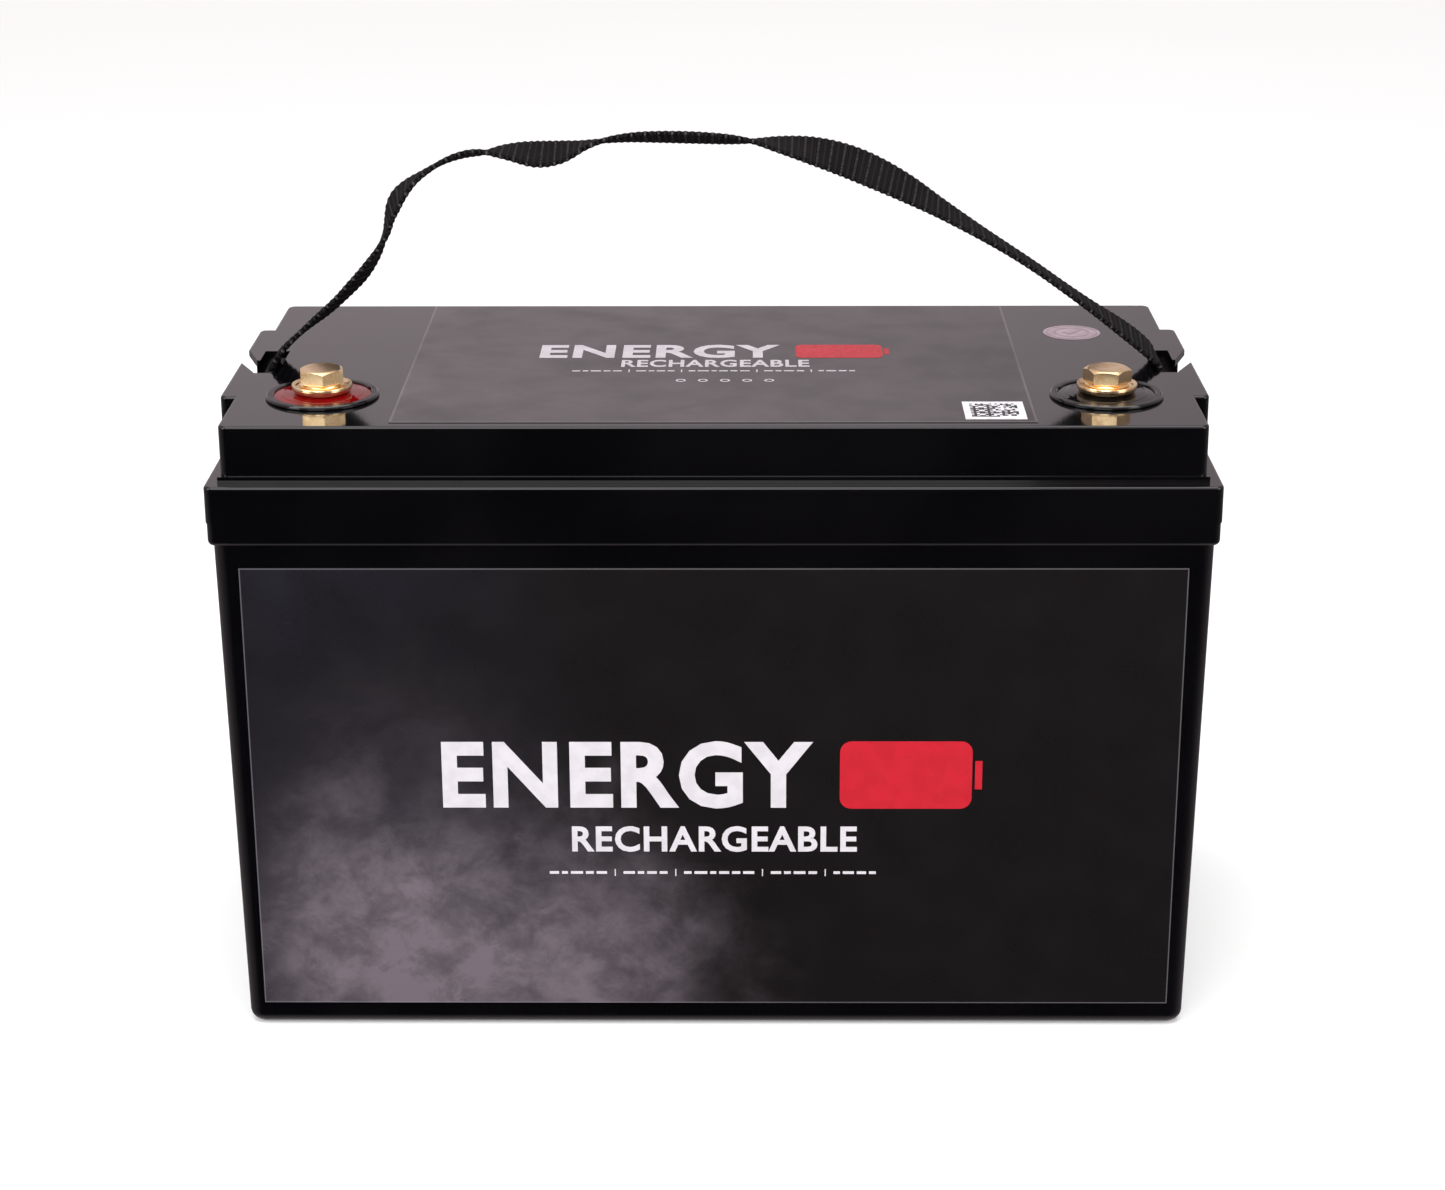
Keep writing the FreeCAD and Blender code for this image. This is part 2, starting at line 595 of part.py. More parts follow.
def make_terminal_fixings():
    seals = []
    nuts = []
    for polarity, side in SIDES.items():
        x = f"{side} * terminal_pitch / 2"
        seal = doc.addObject("Part::Torus", f"oring_{polarity}")
        bind(seal, Radius1="oring_pitch_radius", Radius2="oring_section / 2")
        place(seal, x, "terminal_offset", "lid_top - resin_depth - oring_section / 2")
        seals.append(seal)
        for level, foot in (("upper", f"{BOSS_FOOT} - nut_height"),
                            ("lower", f"{BOSS_FOOT} - 2 * nut_height - lug_thick")):
            name = f"post_nut_{polarity}_{level}"
            spot = (x, "terminal_offset", foot)
            blank = hexagon(name + "_blank", "nut_flats", "nut_height", *spot, turn=30)
            hole = cylinder(name + "_hole", "post_radius + post_clearance", "nut_height", *spot)
            nuts.append(cut(name, blank, hole))
    node(group("orings", *seals), "post_seals")
    node(group("post_nut_set", *nuts), "post_nuts")


# ---------------------------------------------------------------- carry strap
STRAP_ARCH = [(-126, 240.5), (-115.5, 259), (-110, 273), (-94, 286.5), (-74, 288.3), (-55, 285.8),
              (-36, 292.3), (-12, 292.6), (16, 291), (40, 286.5), (62, 277), (84, 264.5),
              (107, 251), (124, 237.3)]
STRAP_EXIT = {"left": 217, "right": 215.5}          # height at which each end starts to lean over


def strap_end_points(end):
    """One sewn end: up from the pin through the slot, then over towards the arch."""
    side = ENDS[end]
    offset = side * measure("pin_offset")
    foot = Vector(offset, 0, measure("pin_height + 2"))
    corner = Vector(offset, 0, STRAP_EXIT[end])
    x, z = STRAP_ARCH[0] if side < 0 else STRAP_ARCH[-1]
    ahead = (Vector(x, 0, z) - corner).normalize()
    hinge = corner + ahead * ((measure("strap_hinge_height") - corner.z) / ahead.z)
    back = ahead * (measure("strap_gap") / 2)
    return [foot, corner, hinge - back], hinge + back


def make_strap():
    starts = {}
    for end, side in ENDS.items():
        points, starts[end] = strap_end_points(end)
        tail = swept(f"strap_end_{end}", points, band_section)
        width = measure("strap_width")
        middle = Vector(side * measure("pin_offset"), -width / 2, measure("pin_height"))
        bore = measure("pin_radius + loop_clearance")
        outer = bore + measure("strap_thick")
        eye = Part.makeCylinder(outer, width, middle, Vector(0, 1, 0))
        hole = Part.makeCylinder(bore, width, middle, Vector(0, 1, 0))
        node(feature(f"strap_end_{end}_shape", eye.fuse(tail).cut(hole).removeSplitter()),
             f"strap_end_{end}")
    arch = [starts["left"]] + [Vector(x, 0, z) for x, z in STRAP_ARCH] + [starts["right"]]
    node(feature("strap_shape", swept("carry_strap", arch, band_section)), "carry_strap")
    pins = [cylinder(f"strap_pin_{end}", "pin_radius", "pin_length", f"{side} * pin_offset",
                     "-pin_length / 2", "pin_height", Vector(1, 0, 0), -90)
            for end, side in ENDS.items()]
    node(group("strap_pin_pair", *pins), "strap_pins")


# ---------------------------------------------------------------- cells
def make_cells():
    stacks = []
    caps = []
    bosses = []
    vents = []
    for number in CELLS:
        x = cell_x(number)
        across = (f"{x} - cell_thick / 2", f"{x} + cell_thick / 2")
        inner = (f"{across[0]} + can_wall", f"{across[1]} - can_wall")
        deep = centred("cell_width")
        inner_deep = centred("cell_width - 2 * can_wall")
        blank = box(f"can_{number}_blank", across, deep, (CELL_FOOT, CELL_TOP))
        can = rounded(f"can_{number}_rounded", blank, "cell_corner", upright)
        core = box(f"can_{number}_core", inner, inner_deep, (f"{CELL_FOOT} + can_wall", f"{CELL_TOP} + 1"))
        core = rounded(f"can_{number}_core_rounded", core, "cell_corner - can_wall", upright)
        node(cut(f"can_{number}", can, core), f"cell_{number}")
        cap = box(f"cap_{number}_blank", inner, inner_deep, (f"{CELL_TOP} - cap_thick", CELL_TOP))
        caps.append(rounded(f"cap_{number}", cap, "cell_corner - can_wall", upright))
        stacks.append(box(f"stack_{number}", (f"{inner[0]} + 0.5", f"{inner[1]} - 0.5"),
                          centred("cell_width - 2 * can_wall - 5"),
                          (f"{CELL_FOOT} + can_wall + 1", f"{CELL_TOP} - cap_thick - 6")))
        for way in (-1, 1):
            name = f"cell_{number}_{'front' if way < 0 else 'back'}"
            y = f"{way} * cell_stud_pitch / 2"
            boss = cylinder(name + "_boss", "boss_radius", "boss_height", x, y, CELL_TOP)
            stud = cylinder(name + "_stud", "stud_radius", "stud_height", x, y, CELL_TOP)
            bosses.append(fuse(name + "_terminal", boss, stud))
        vents.append(box(f"vent_{number}", (f"{x} - vent_width / 2", f"{x} + vent_width / 2"),
                         centred("vent_length"), (CELL_TOP, f"{CELL_TOP} + 0.4")))
    node(group("cap_set", *caps), "cell_caps")
    node(group("electrode_set", *stacks), "electrode_stacks")
    node(group("terminal_set", *bosses), "cell_terminals")
    node(group("vent_set", *vents), "cell_vents")


def make_stack_hardware():
    """Separators, end plates and bands that hold the four cells together."""
    deep = centred("cell_width")
    sheets = []
    for number in CELLS[:-1]:
        low = f"{cell_x(number)} + cell_thick / 2"
        sheets.append(box(f"separator_{number}", (low, f"{low} + separator_thick"), deep,
                          (CELL_FOOT, f"{CELL_TOP} - 4")))
    node(group("separator_set", *sheets), "cell_separators")
    low = f"{cell_x(CELLS[0])} - cell_thick / 2"
    high = f"{cell_x(CELLS[-1])} + cell_thick / 2"
    tall = (CELL_FOOT, f"{CELL_TOP} - 4")
    plates = [box("end_plate_left", (f"{low} - end_plate_thick", low), deep, tall),
              box("end_plate_right", (high, f"{high} + end_plate_thick"), deep, tall)]
    node(group("end_plate_pair", *plates), "end_plates")
    bands = []
    for level in (1, 2):
        foot = f"{CELL_FOOT} + {level} * cell_height / 3 - band_width / 2"
        tall = (foot, f"{foot} + band_width")
        inside = (f"{low} - end_plate_thick", f"{high} + end_plate_thick")
        outer = box(f"band_{level}_outer", (f"{inside[0]} - band_thick", f"{inside[1]} + band_thick"),
                    centred("cell_width + 2 * band_thick"), tall)
        inner = box(f"band_{level}_inner", inside, deep, tall)
        bands.append(cut(f"band_{level}", outer, inner))
    node(group("band_pair", *bands), "pack_bands")


def link_side(number):
    """The series links change sides: front, back, front."""
    return -1 if number % 2 else 1


def make_busbars():
    for number in CELLS[:-1]:
        y = f"{link_side(number)} * cell_stud_pitch / 2"
        low, high = cell_x(number), cell_x(number + 1)
        top = (LUG_SEAT, f"{LUG_SEAT} + busbar_thick")
        plate = box(f"busbar_{number}_blank", (f"{low} - busbar_width / 2", f"{high} + busbar_width / 2"),
                    (f"{y} - busbar_width / 2", f"{y} + busbar_width / 2"), top)
        plate = rounded(f"busbar_{number}_rounded", plate, "4", upright)
        holes = [cylinder(f"busbar_{number}_hole_{index}", "stud_radius + stud_clearance",
                          "busbar_thick", x, y, LUG_SEAT) for index, x in enumerate((low, high))]
        node(cut(f"busbar_{number}_drilled", plate, *holes), f"busbar_{number}")
    nuts = []
    for number in CELLS:
        for way in (-1, 1):
            name = f"stud_nut_{number}_{'front' if way < 0 else 'back'}"
            y = f"{way} * cell_stud_pitch / 2"
            foot = f"{LUG_SEAT} + busbar_thick"
            spot = (cell_x(number), y, foot)
            blank = hexagon(name + "_blank", "busbar_nut_flats", "busbar_nut_height", *spot)
            hole = cylinder(name + "_hole", "stud_radius + stud_clearance", "busbar_nut_height", *spot)
            nuts.append(cut(name, blank, hole))
    node(group("stud_nut_set", *nuts), "busbar_nuts")


def make_foam():
    node(box("base_pad_sheet", centred("base_length - 12"), centred("base_depth - 12"),
             ("wall", CELL_FOOT)), "base_pad")
    low = f"{cell_x(CELLS[0])} - cell_thick / 2 - end_plate_thick"
    high = f"{cell_x(CELLS[-1])} + cell_thick / 2 + end_plate_thick"
    tall = (CELL_FOOT, "foam_top")
    wall_x = "base_length / 2 - wall - 1"
    wall_y = "base_depth / 2 - wall - 0.5"
    whole = centred(f"2 * ({wall_y} - 3)")
    node(box("foam_left_block", (f"-({wall_x})", f"{low} - stack_clearance"), whole, tall), "foam_left")
    node(box("foam_middle_block", (f"{high} + stack_clearance", "board_x - 14.5"), whole, tall),
         "foam_middle")
    node(box("foam_right_block", ("board_x + 13", wall_x), whole, tall), "foam_right")
    cell_face = "cell_width / 2 + band_thick + 0.5"
    node(box("foam_front_sheet", (low, high), (f"-({wall_y})", f"-({cell_face})"), tall), "foam_front")
    node(box("foam_back_sheet", (low, high), (cell_face, wall_y), tall), "foam_back")


# ---------------------------------------------------------------- management board and wiring
BOARD_SCREWS = [(-44, 12), (44, 12), (-20, 97), (20, 97)]       # across the board, up the board


def make_board():
    tall = (CELL_FOOT, f"{CELL_FOOT} + board_height")
    front = "board_x - board_thick / 2"
    back = "board_x + board_thick / 2"
    sheet_blank = box("board_sheet", (front, back), centred("board_depth"), tall)
    holes = [cylinder(f"board_hole_{index}", "board_screw_radius + 0.1", "board_thick + 2",
                      f"{front} - 1", y, f"{CELL_FOOT} + {rise}", Vector(0, 1, 0), 90)
             for index, (y, rise) in enumerate(BOARD_SCREWS)]
    node(cut("board_drilled", sheet_blank, *holes), "bms_board")
    switches = []
    for row in (0, 1):
        for index in range(9):
            y = f"({index} - 4) * transistor_pitch"
            foot = f"{CELL_FOOT} + transistor_foot + {row} * transistor_row_pitch"
            switches.append(box(f"transistor_{row}_{index}", (back, f"{back} + transistor_thick"),
                                (f"{y} - transistor_width / 2", f"{y} + transistor_width / 2"),
                                (foot, f"{foot} + transistor_height")))
    node(group("transistor_set", *switches), "bms_transistors")
    sink = f"{back} + transistor_thick"
    sink_foot = f"{CELL_FOOT} + heatsink_foot"
    node(box("heatsink_plate", (sink, f"{sink} + heatsink_thick"), centred("board_depth - 8"),
             (sink_foot, f"{sink_foot} + heatsink_height")), "bms_heatsink")
    shunts = []
    for way in (-1, 0, 1):
        middle = f"{way} * shunt_pitch"
        shunts.append(box(f"shunt_{way + 1}", (f"{front} - shunt_thick", front),
                          (f"{middle} - shunt_length / 2", f"{middle} + shunt_length / 2"),
                          (f"{CELL_FOOT} + shunt_foot", f"{CELL_FOOT} + shunt_foot + shunt_height")))
    node(group("shunt_set", *shunts), "bms_shunts")
    socket_top = f"{CELL_FOOT} + board_height - connector_drop"
    node(box("connector_block", (f"{front} - connector_thick", front), centred("connector_width"),
             (f"{socket_top} - connector_height", socket_top)), "bms_connector")
    screws = []
    for index, (y, rise) in enumerate(BOARD_SCREWS):
        foot = (f"{front} - board_screw_head", y, f"{CELL_FOOT} + {rise}")
        head = cylinder(f"board_screw_{index}_head", "board_screw_head_radius", "board_screw_head",
                        *foot, Vector(0, 1, 0), 90)
        shank = cylinder(f"board_screw_{index}_shank", "board_screw_radius",
                         "board_screw_head + board_thick + board_screw_reach", *foot, Vector(0, 1, 0), 90)
        screws.append(fuse(f"board_screw_{index}", head, shank))
    node(group("board_screw_set", *screws), "bms_screws")


def lug(name, x, y, foot, eye, hole, way):
    """A ring terminal: an eye, a neck and a barrel that points along way, (1, 0), (-1, 0) or (0, 1)."""
    disc = cylinder(name + "_eye", eye, "lug_thick", x, y, foot)
    barrel_axis, turn = (Vector(0, 1, 0), 90 * way[0]) if way[0] else (Vector(1, 0, 0), -90)
    start_x = f"{x} + {way[0]} * ({eye} + lug_shoulder)"
    start_y = f"{y} + {way[1]} * ({eye} + lug_shoulder)"
    barrel = cylinder(name + "_barrel", "power_cable_radius + lug_wall", "lug_reach", start_x, start_y,
                      CABLE_HEIGHT, barrel_axis, turn)
    bore = cylinder(name + "_bore", hole, "lug_reach", x, y, f"{foot} - 2")
    end_x = f"{start_x} + {way[0]} * lug_socket"
    end_y = f"{start_y} + {way[1]} * lug_socket"
    neck_x = sorted((x, end_x), key=measure) if way[0] else (f"{x} - lug_neck / 2", f"{x} + lug_neck / 2")
    neck_y = sorted((y, end_y), key=measure) if way[1] else (f"{y} - lug_neck / 2", f"{y} + lug_neck / 2")
    neck = box(name + "_neck", neck_x, neck_y, (foot, f"{foot} + lug_thick"))
    socket = cylinder(name + "_socket", "power_cable_radius", "lug_reach", end_x, end_y,
                      CABLE_HEIGHT, barrel_axis, turn)
    return cut(name, fuse(name + "_blank", disc, barrel, neck), bore, socket)


def make_leads():
    post_lug_foot = f"{BOSS_FOOT} - nut_height - lug_thick"
    post_x = "terminal_pitch / 2"
    back = "cell_stud_pitch / 2"
    post_eye = "post_lug_radius"
    cell_eye = "cell_lug_radius"
    post_hole = "post_radius + post_clearance"
    stud_hole = "stud_radius + stud_clearance"
    lugs = [lug("lug_post_positive", f"-({post_x})", "terminal_offset", post_lug_foot, post_eye,
                post_hole, (0, 1)),
            lug("lug_post_negative", post_x, "terminal_offset", post_lug_foot, post_eye,
                post_hole, (-1, 0)),
            lug("lug_cell_positive", cell_x(1), back, LUG_SEAT, cell_eye, stud_hole, (-1, 0)),
            lug("lug_cell_negative", cell_x(4), back, LUG_SEAT, cell_eye, stud_hole, (1, 0))]
    node(group("lug_set", *lugs), "lead_lugs")

    height = measure(CABLE_HEIGHT)
    left = -measure(post_x)
    stud_y = measure(back)
    post_y = measure("terminal_offset")
    face = measure("board_x - board_thick / 2 - power_cable_radius") - 0.1
    post_mouth = measure(f"{post_eye} + lug_shoulder + lug_socket")
    cell_mouth = measure(f"{cell_eye} + lug_shoulder + lug_socket")
    cell_left = measure(cell_x(1)) - cell_mouth
    cell_right = measure(cell_x(4)) + cell_mouth
    pad_height = 84
    positive = [(left, post_y + post_mouth, height), (left, 2, height), (left + 4, 32, height),
                (left + 17, stud_y, height), (cell_left, stud_y, height)]
    pack_negative = [(cell_right, stud_y, height), (66, stud_y, height), (86.5, stud_y, 197),
                     (face, stud_y, 170), (face - 0.6, stud_y, 126), (face, stud_y, pad_height)]
    output_negative = [(face, -34, pad_height), (face - 0.6, -34, 128), (face, -36, 168),
                       (face + 1, -44, 195), (-left - 31, post_y, height),
                       (-left - post_mouth, post_y, height)]
    for name, points in (("positive_lead", positive), ("pack_negative_lead", pack_negative),
                         ("output_negative_lead", output_negative)):
        node(feature(name + "_shape", swept(name, points, round_section("power_cable_radius"))), name)
    ties = []
    for index, (x, y, z, axis) in enumerate(((left, -8, height, Vector(1, 0, 0)),
                                             (57, stud_y, height, Vector(0, 1, 0)))):
        tie = doc.addObject("Part::Torus", f"tie_{index}_loop")
        bind(tie, Radius1="power_cable_radius + tie_section + 0.05", Radius2="tie_section")
        place(tie, x, y, z, axis, 90)
        buckle = box(f"tie_{index}_buckle", (f"{x} - tie_buckle / 2", f"{x} + tie_buckle / 2"),
                     (f"{y} - tie_buckle / 2", f"{y} + tie_buckle / 2"),
                     (f"{z} + power_cable_radius + 0.4", f"{z} + power_cable_radius + 3"))
        ties.append(fuse(f"tie_{index}", tie, buckle))
    node(group("tie_pair", *ties), "cable_ties")


def make_sense_harness():
    """Five sense wires from the board's connector to the tap on each link, and a sensor lead."""
    gauge = "sense_wire_radius"
    front = measure("board_x - board_thick / 2")
    socket_top = measure(f"{CELL_FOOT} + board_height - connector_drop")
    lane_pitch = measure("sense_lane")
    half_tab = measure("sense_tab_width / 2")
    over = measure(f"{CELL_TOP} + 1.6")
    tap_height = measure(f"{LUG_SEAT} + busbar_thick") + 0.5
    tap_y = measure("cell_stud_pitch / 2 - busbar_width / 2") - 1
    taps = [(measure(cell_x(4)), 1), (measure(cell_x(3)) + 18, -1), (measure(cell_x(2)) + 18, 1),
            (measure(cell_x(1)) + 18, -1), (measure(cell_x(1)), 1)]
    wires = []
    tabs = []
    for index, (x, way) in enumerate(taps):
        lane = (index - 2) * lane_pitch
        points = [(front - 2.5, lane, socket_top), (front - 2.5, lane, 160), (front - 3.5, lane, 190),
                  (front - 16, lane, over), (x + 8, lane, over), (x, lane + way * 9, over),
                  (x, way * (tap_y - 6), over + 0.6), (x, way * (tap_y - 0.3), tap_height)]
        name = f"sense_wire_{index}"
        wires.append(feature(name, swept(name, points, round_section(gauge))))
        near, far = sorted((way * tap_y, way * (tap_y + measure("sense_tab_length"))))
        tabs.append(box(f"sense_tab_{index}", (x - half_tab, x + half_tab), (near, far),
                        (tap_height - 0.5, tap_height + 0.4)))
    node(group("sense_wire_set", *wires), "sense_wires")
    node(group("sense_tab_set", *tabs), "sense_tabs")
    bead = cylinder("sensor_bead", "sensor_radius", "sensor_length", f"{cell_x(2)} - 2", "sensor_y",
                    f"{CELL_TOP} + sensor_radius + 0.4", Vector(0, 1, 0), 90)
    bead_x = measure(f"{cell_x(2)} - 2 + sensor_length")
    bead_y = measure("sensor_y")
    lane = 3 * lane_pitch
    above = over + 1.9
    lead = [(front - 2.5, lane, socket_top), (front - 2.5, lane + 2, 160), (front - 3.5, lane + 4, 190),
            (front - 16, bead_y, above), (30, bead_y + 1, above), (bead_x + 12, bead_y + 0.5, above),
            (bead_x, bead_y, over + 0.4)]
    wire = feature("sensor_wire", swept("sensor_wire", lead, round_section(gauge)))
    node(group("sensor_whole", bead, wire), "temperature_sensor")


# ---------------------------------------------------------------- build, check and write
make_case()
make_seal()
make_lid()
make_labels()
for polarity, side in SIDES.items():
    make_terminal(polarity, side)
make_terminal_fixings()
make_strap()
make_cells()
make_stack_hardware()
make_busbars()
make_foam()
make_board()
make_leads()
make_sense_harness()
doc.recompute()

for item in doc.Objects:
    if "Invalid" in item.State or "Error" in item.State:
        raise RuntimeError(f"{item.Name} failed: {item.State}")
os.makedirs("parts", exist_ok=True)
for item in NODES:
    shape = item.Shape
    if shape.isNull() or not shape.isValid() or not shape.Solids:
        raise RuntimeError(f"{item.Label} has no valid solid")
    shape.exportStep(f"parts/{item.Label}.step")
    print(f"{item.Label}: {len(shape.Solids)} solid(s), {shape.Volume / 1000:.2f} cm3")
print(len(NODES), "nodes")
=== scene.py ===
"""Looks of the drop-in battery with its carry strap, in metres, in the CAD model's own frame."""

import json
import math

import bmesh
import bpy
from mathutils import Matrix, Vector


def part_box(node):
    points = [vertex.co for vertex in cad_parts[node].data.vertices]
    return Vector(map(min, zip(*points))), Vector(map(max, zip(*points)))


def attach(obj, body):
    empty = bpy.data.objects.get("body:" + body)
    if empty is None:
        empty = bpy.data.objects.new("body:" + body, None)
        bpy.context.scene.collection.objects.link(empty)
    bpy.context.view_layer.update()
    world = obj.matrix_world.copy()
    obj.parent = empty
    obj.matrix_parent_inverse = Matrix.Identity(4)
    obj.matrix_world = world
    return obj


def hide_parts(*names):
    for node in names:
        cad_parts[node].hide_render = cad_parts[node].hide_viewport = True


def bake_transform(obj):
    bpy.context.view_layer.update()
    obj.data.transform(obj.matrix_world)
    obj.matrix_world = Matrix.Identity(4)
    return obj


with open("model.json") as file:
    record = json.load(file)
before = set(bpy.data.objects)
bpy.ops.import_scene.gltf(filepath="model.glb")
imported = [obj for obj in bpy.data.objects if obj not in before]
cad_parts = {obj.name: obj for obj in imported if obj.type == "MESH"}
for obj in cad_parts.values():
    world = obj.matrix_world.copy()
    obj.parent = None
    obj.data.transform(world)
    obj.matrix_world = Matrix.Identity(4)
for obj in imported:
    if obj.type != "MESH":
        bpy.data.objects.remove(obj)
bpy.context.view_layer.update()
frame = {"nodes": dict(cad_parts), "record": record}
NODES = frame["nodes"]
MM = 0.001
RIB_PITCH = 2.25 * MM         # from rib to rib along the webbing
STRAND_PITCH = 0.9 * MM       # from strand to strand across it


# ---------------------------------------------------------------- node helpers
class Shader:
    """A Principled material and short calls that add the nodes behind it."""

    def __init__(self, name, colour, roughness, metallic=0.0, **sockets):
        self.material = bpy.data.materials.new(name)
        self.material.use_nodes = True
        self.tree = self.material.node_tree
        self.shader = self.tree.nodes["Principled BSDF"]
        self.shader.inputs["Base Color"].default_value = (*colour, 1)
        self.shader.inputs["Roughness"].default_value = roughness
        self.shader.inputs["Metallic"].default_value = metallic
        for key, value in sockets.items():
            self.shader.inputs[key.replace("_", " ")].default_value = value
        self.place = self.add("ShaderNodeTexCoord").outputs["Object"]
        self.height = None

    def add(self, kind, **settings):
        """A new node of this kind with these settings."""
        item = self.tree.nodes.new(kind)
        for key, value in settings.items():
            setattr(item, key, value)
        return item

    def link(self, value, socket):
        """Wire a socket's output into another, or set a plain value on it."""
        if isinstance(value, bpy.types.NodeSocket):
            self.tree.links.new(value, socket)
        elif isinstance(value, tuple) and len(value) == 3 and socket.type == "RGBA":
            socket.default_value = (*value, 1)
        else:
            socket.default_value = value

    def maths(self, operation, first, second=0.0, third=0.0, clamp=False):
        """The result of one arithmetic step."""
        item = self.add("ShaderNodeMath", operation=operation, use_clamp=clamp)
        for socket, value in zip(item.inputs, (first, second, third)):
            self.link(value, socket)
        return item.outputs[0]

    def axes(self):
        """The X, Y and Z of each point, in metres."""
        item = self.add("ShaderNodeSeparateXYZ")
        self.link(self.place, item.inputs[0])
        return item.outputs

    def stretched(self, scale, turn=(0, 0, 0)):
        """The point's place, scaled along each axis and turned, for noise with a grain."""
        item = self.add("ShaderNodeMapping")
        self.link(self.place, item.inputs["Vector"])
        item.inputs["Rotation"].default_value = turn
        item.inputs["Scale"].default_value = scale
        return item.outputs[0]

    def noise(self, size, detail=3.0, roughness=0.5, vector=None, distortion=0.0):
        """Noise whose lumps are about size metres across."""
        item = self.add("ShaderNodeTexNoise")
        self.link(self.place if vector is None else vector, item.inputs["Vector"])
        item.inputs["Scale"].default_value = 1 / size
        item.inputs["Detail"].default_value = detail
        item.inputs["Roughness"].default_value = roughness
        item.inputs["Distortion"].default_value = distortion
        return item.outputs["Fac"]

    def spread(self, value, low, high, bottom=0.0, top=1.0):
        """value from low to high, brought smoothly to bottom to top."""
        item = self.add("ShaderNodeMapRange", interpolation_type="SMOOTHSTEP")
        for key, given in (("Value", value), ("From Min", low), ("From Max", high),
                           ("To Min", bottom), ("To Max", top)):
            self.link(given, item.inputs[key])
        return item.outputs["Result"]

    def mix(self, share, first, second):
        """A colour that is first where share is 0 and second where it is 1."""
        item = self.add("ShaderNodeMix", data_type="RGBA")
        self.link(share, item.inputs[0])
        self.link(first, item.inputs[6])
        self.link(second, item.inputs[7])
        return item.outputs[2]

    def inside(self, value, low, high, soft):
        """1 where value lies between low and high, 0 outside, with soft edges."""
        rise = self.spread(value, low - soft, low + soft)
        fall = self.spread(value, high - soft, high + soft, 1.0, 0.0)
        return self.maths("MULTIPLY", rise, fall)

    def edges(self, reach):
        """About 1 along sharp edges and 0 elsewhere."""
        item = self.add("ShaderNodeBevel", samples=4)
        item.inputs["Radius"].default_value = reach
        flat = self.add("ShaderNodeNewGeometry").outputs["Normal"]
        product = self.add("ShaderNodeVectorMath", operation="DOT_PRODUCT")
        self.link(item.outputs[0], product.inputs[0])
        self.link(flat, product.inputs[1])
        return self.spread(product.outputs["Value"], 0.995, 0.75)

    def colour(self, value):
        """Set the base colour."""
        self.link(value, self.shader.inputs["Base Color"])
        return self

    def roughness(self, value):
        """Set the roughness."""
        self.link(value, self.shader.inputs["Roughness"])
        return self

    def bump(self, value, depth, strength=1.0):
        """Raise the surface by value times depth, in metres."""
        item = self.add("ShaderNodeBump")
        item.inputs["Strength"].default_value = strength
        item.inputs["Distance"].default_value = depth
        self.link(value, item.inputs["Height"])
        if self.height is not None:
            self.link(self.height, item.inputs["Normal"])
        self.height = item.outputs["Normal"]
        self.link(self.height, self.shader.inputs["Normal"])
        return self


def tone(shader, colour, other, size, share=(0.35, 0.65)):
    """A base colour that drifts slowly between two near tones."""
    shader.colour(shader.mix(shader.spread(shader.noise(size, 4), *share), colour, other))
    return shader


# ---------------------------------------------------------------- materials
def glossy_plastic(name, colour, other, roughness, wave=0.00004):
    """Moulded plastic: gloss with faint flow waves, fine dust and rubbed edges."""
    shader = Shader(name, colour, roughness, Specular_IOR_Level=0.5)
    tone(shader, colour, other, 0.06)
    dust = shader.spread(shader.noise(0.0016, 2, 0.6), 0.66, 0.8)
    smear = shader.spread(shader.noise(0.03, 5, 0.6, distortion=0.6), 0.4, 0.75)
    rough = shader.maths("ADD", roughness, shader.maths("MULTIPLY", smear, 0.05))
    rough = shader.maths("ADD", rough, shader.maths("MULTIPLY", dust, 0.06))
    rough = shader.maths("ADD", rough, shader.maths("MULTIPLY", shader.edges(0.0006), 0.12))
    shader.roughness(rough)
    shader.bump(shader.noise(0.028, 2), wave)
    shader.bump(shader.noise(0.0009, 2), 0.0000015)
    return shader


def matt_plastic(name, colour, other, roughness):
    """Moulded plastic or rubber with a fine even grain."""
    grain = 0.0006
    shader = Shader(name, colour, roughness)
    tone(shader, colour, other, 0.012)
    shader.roughness(shader.spread(shader.noise(grain * 3, 3), 0.3, 0.7, roughness - 0.08, roughness + 0.08))
    shader.bump(shader.noise(grain, 2), grain * 0.05)
    return shader


def metal(name, colour, other, roughness, grain=(1, 1, 1)):
    """Machined or drawn metal: lay marks along one axis, stains and brighter edges."""
    lay_size, lay_depth = 0.0004, 0.000006
    shader = Shader(name, colour, roughness, metallic=1.0)
    lay = shader.noise(lay_size, 3, 0.6, vector=shader.stretched(grain))
    stain = shader.spread(shader.noise(0.004, 4, 0.6), 0.4, 0.7)
    base = shader.mix(stain, colour, other)
    bright = tuple(min(1.0, part * 1.25) for part in colour)
    shader.colour(shader.mix(shader.maths("MULTIPLY", shader.edges(0.0003), 0.6), base, bright))
    rough = shader.maths("ADD", roughness - 0.05, shader.maths("MULTIPLY", lay, 0.1))
    shader.roughness(shader.maths("ADD", rough, shader.maths("MULTIPLY", stain, 0.08)))
    shader.bump(lay, lay_depth)
    return shader


def resin(name, colour, other):
    """Cast resin: a glass-smooth, slightly uneven pool."""
    shader = Shader(name, colour, 0.05, Specular_IOR_Level=0.28)
    tone(shader, colour, other, 0.012)
    speck = shader.spread(shader.noise(0.0007, 2), 0.7, 0.82)
    shader.roughness(shader.maths("ADD", 0.05, shader.maths("MULTIPLY", speck, 0.2)))
    shader.bump(shader.noise(0.009, 2), 0.00012)
    return shader


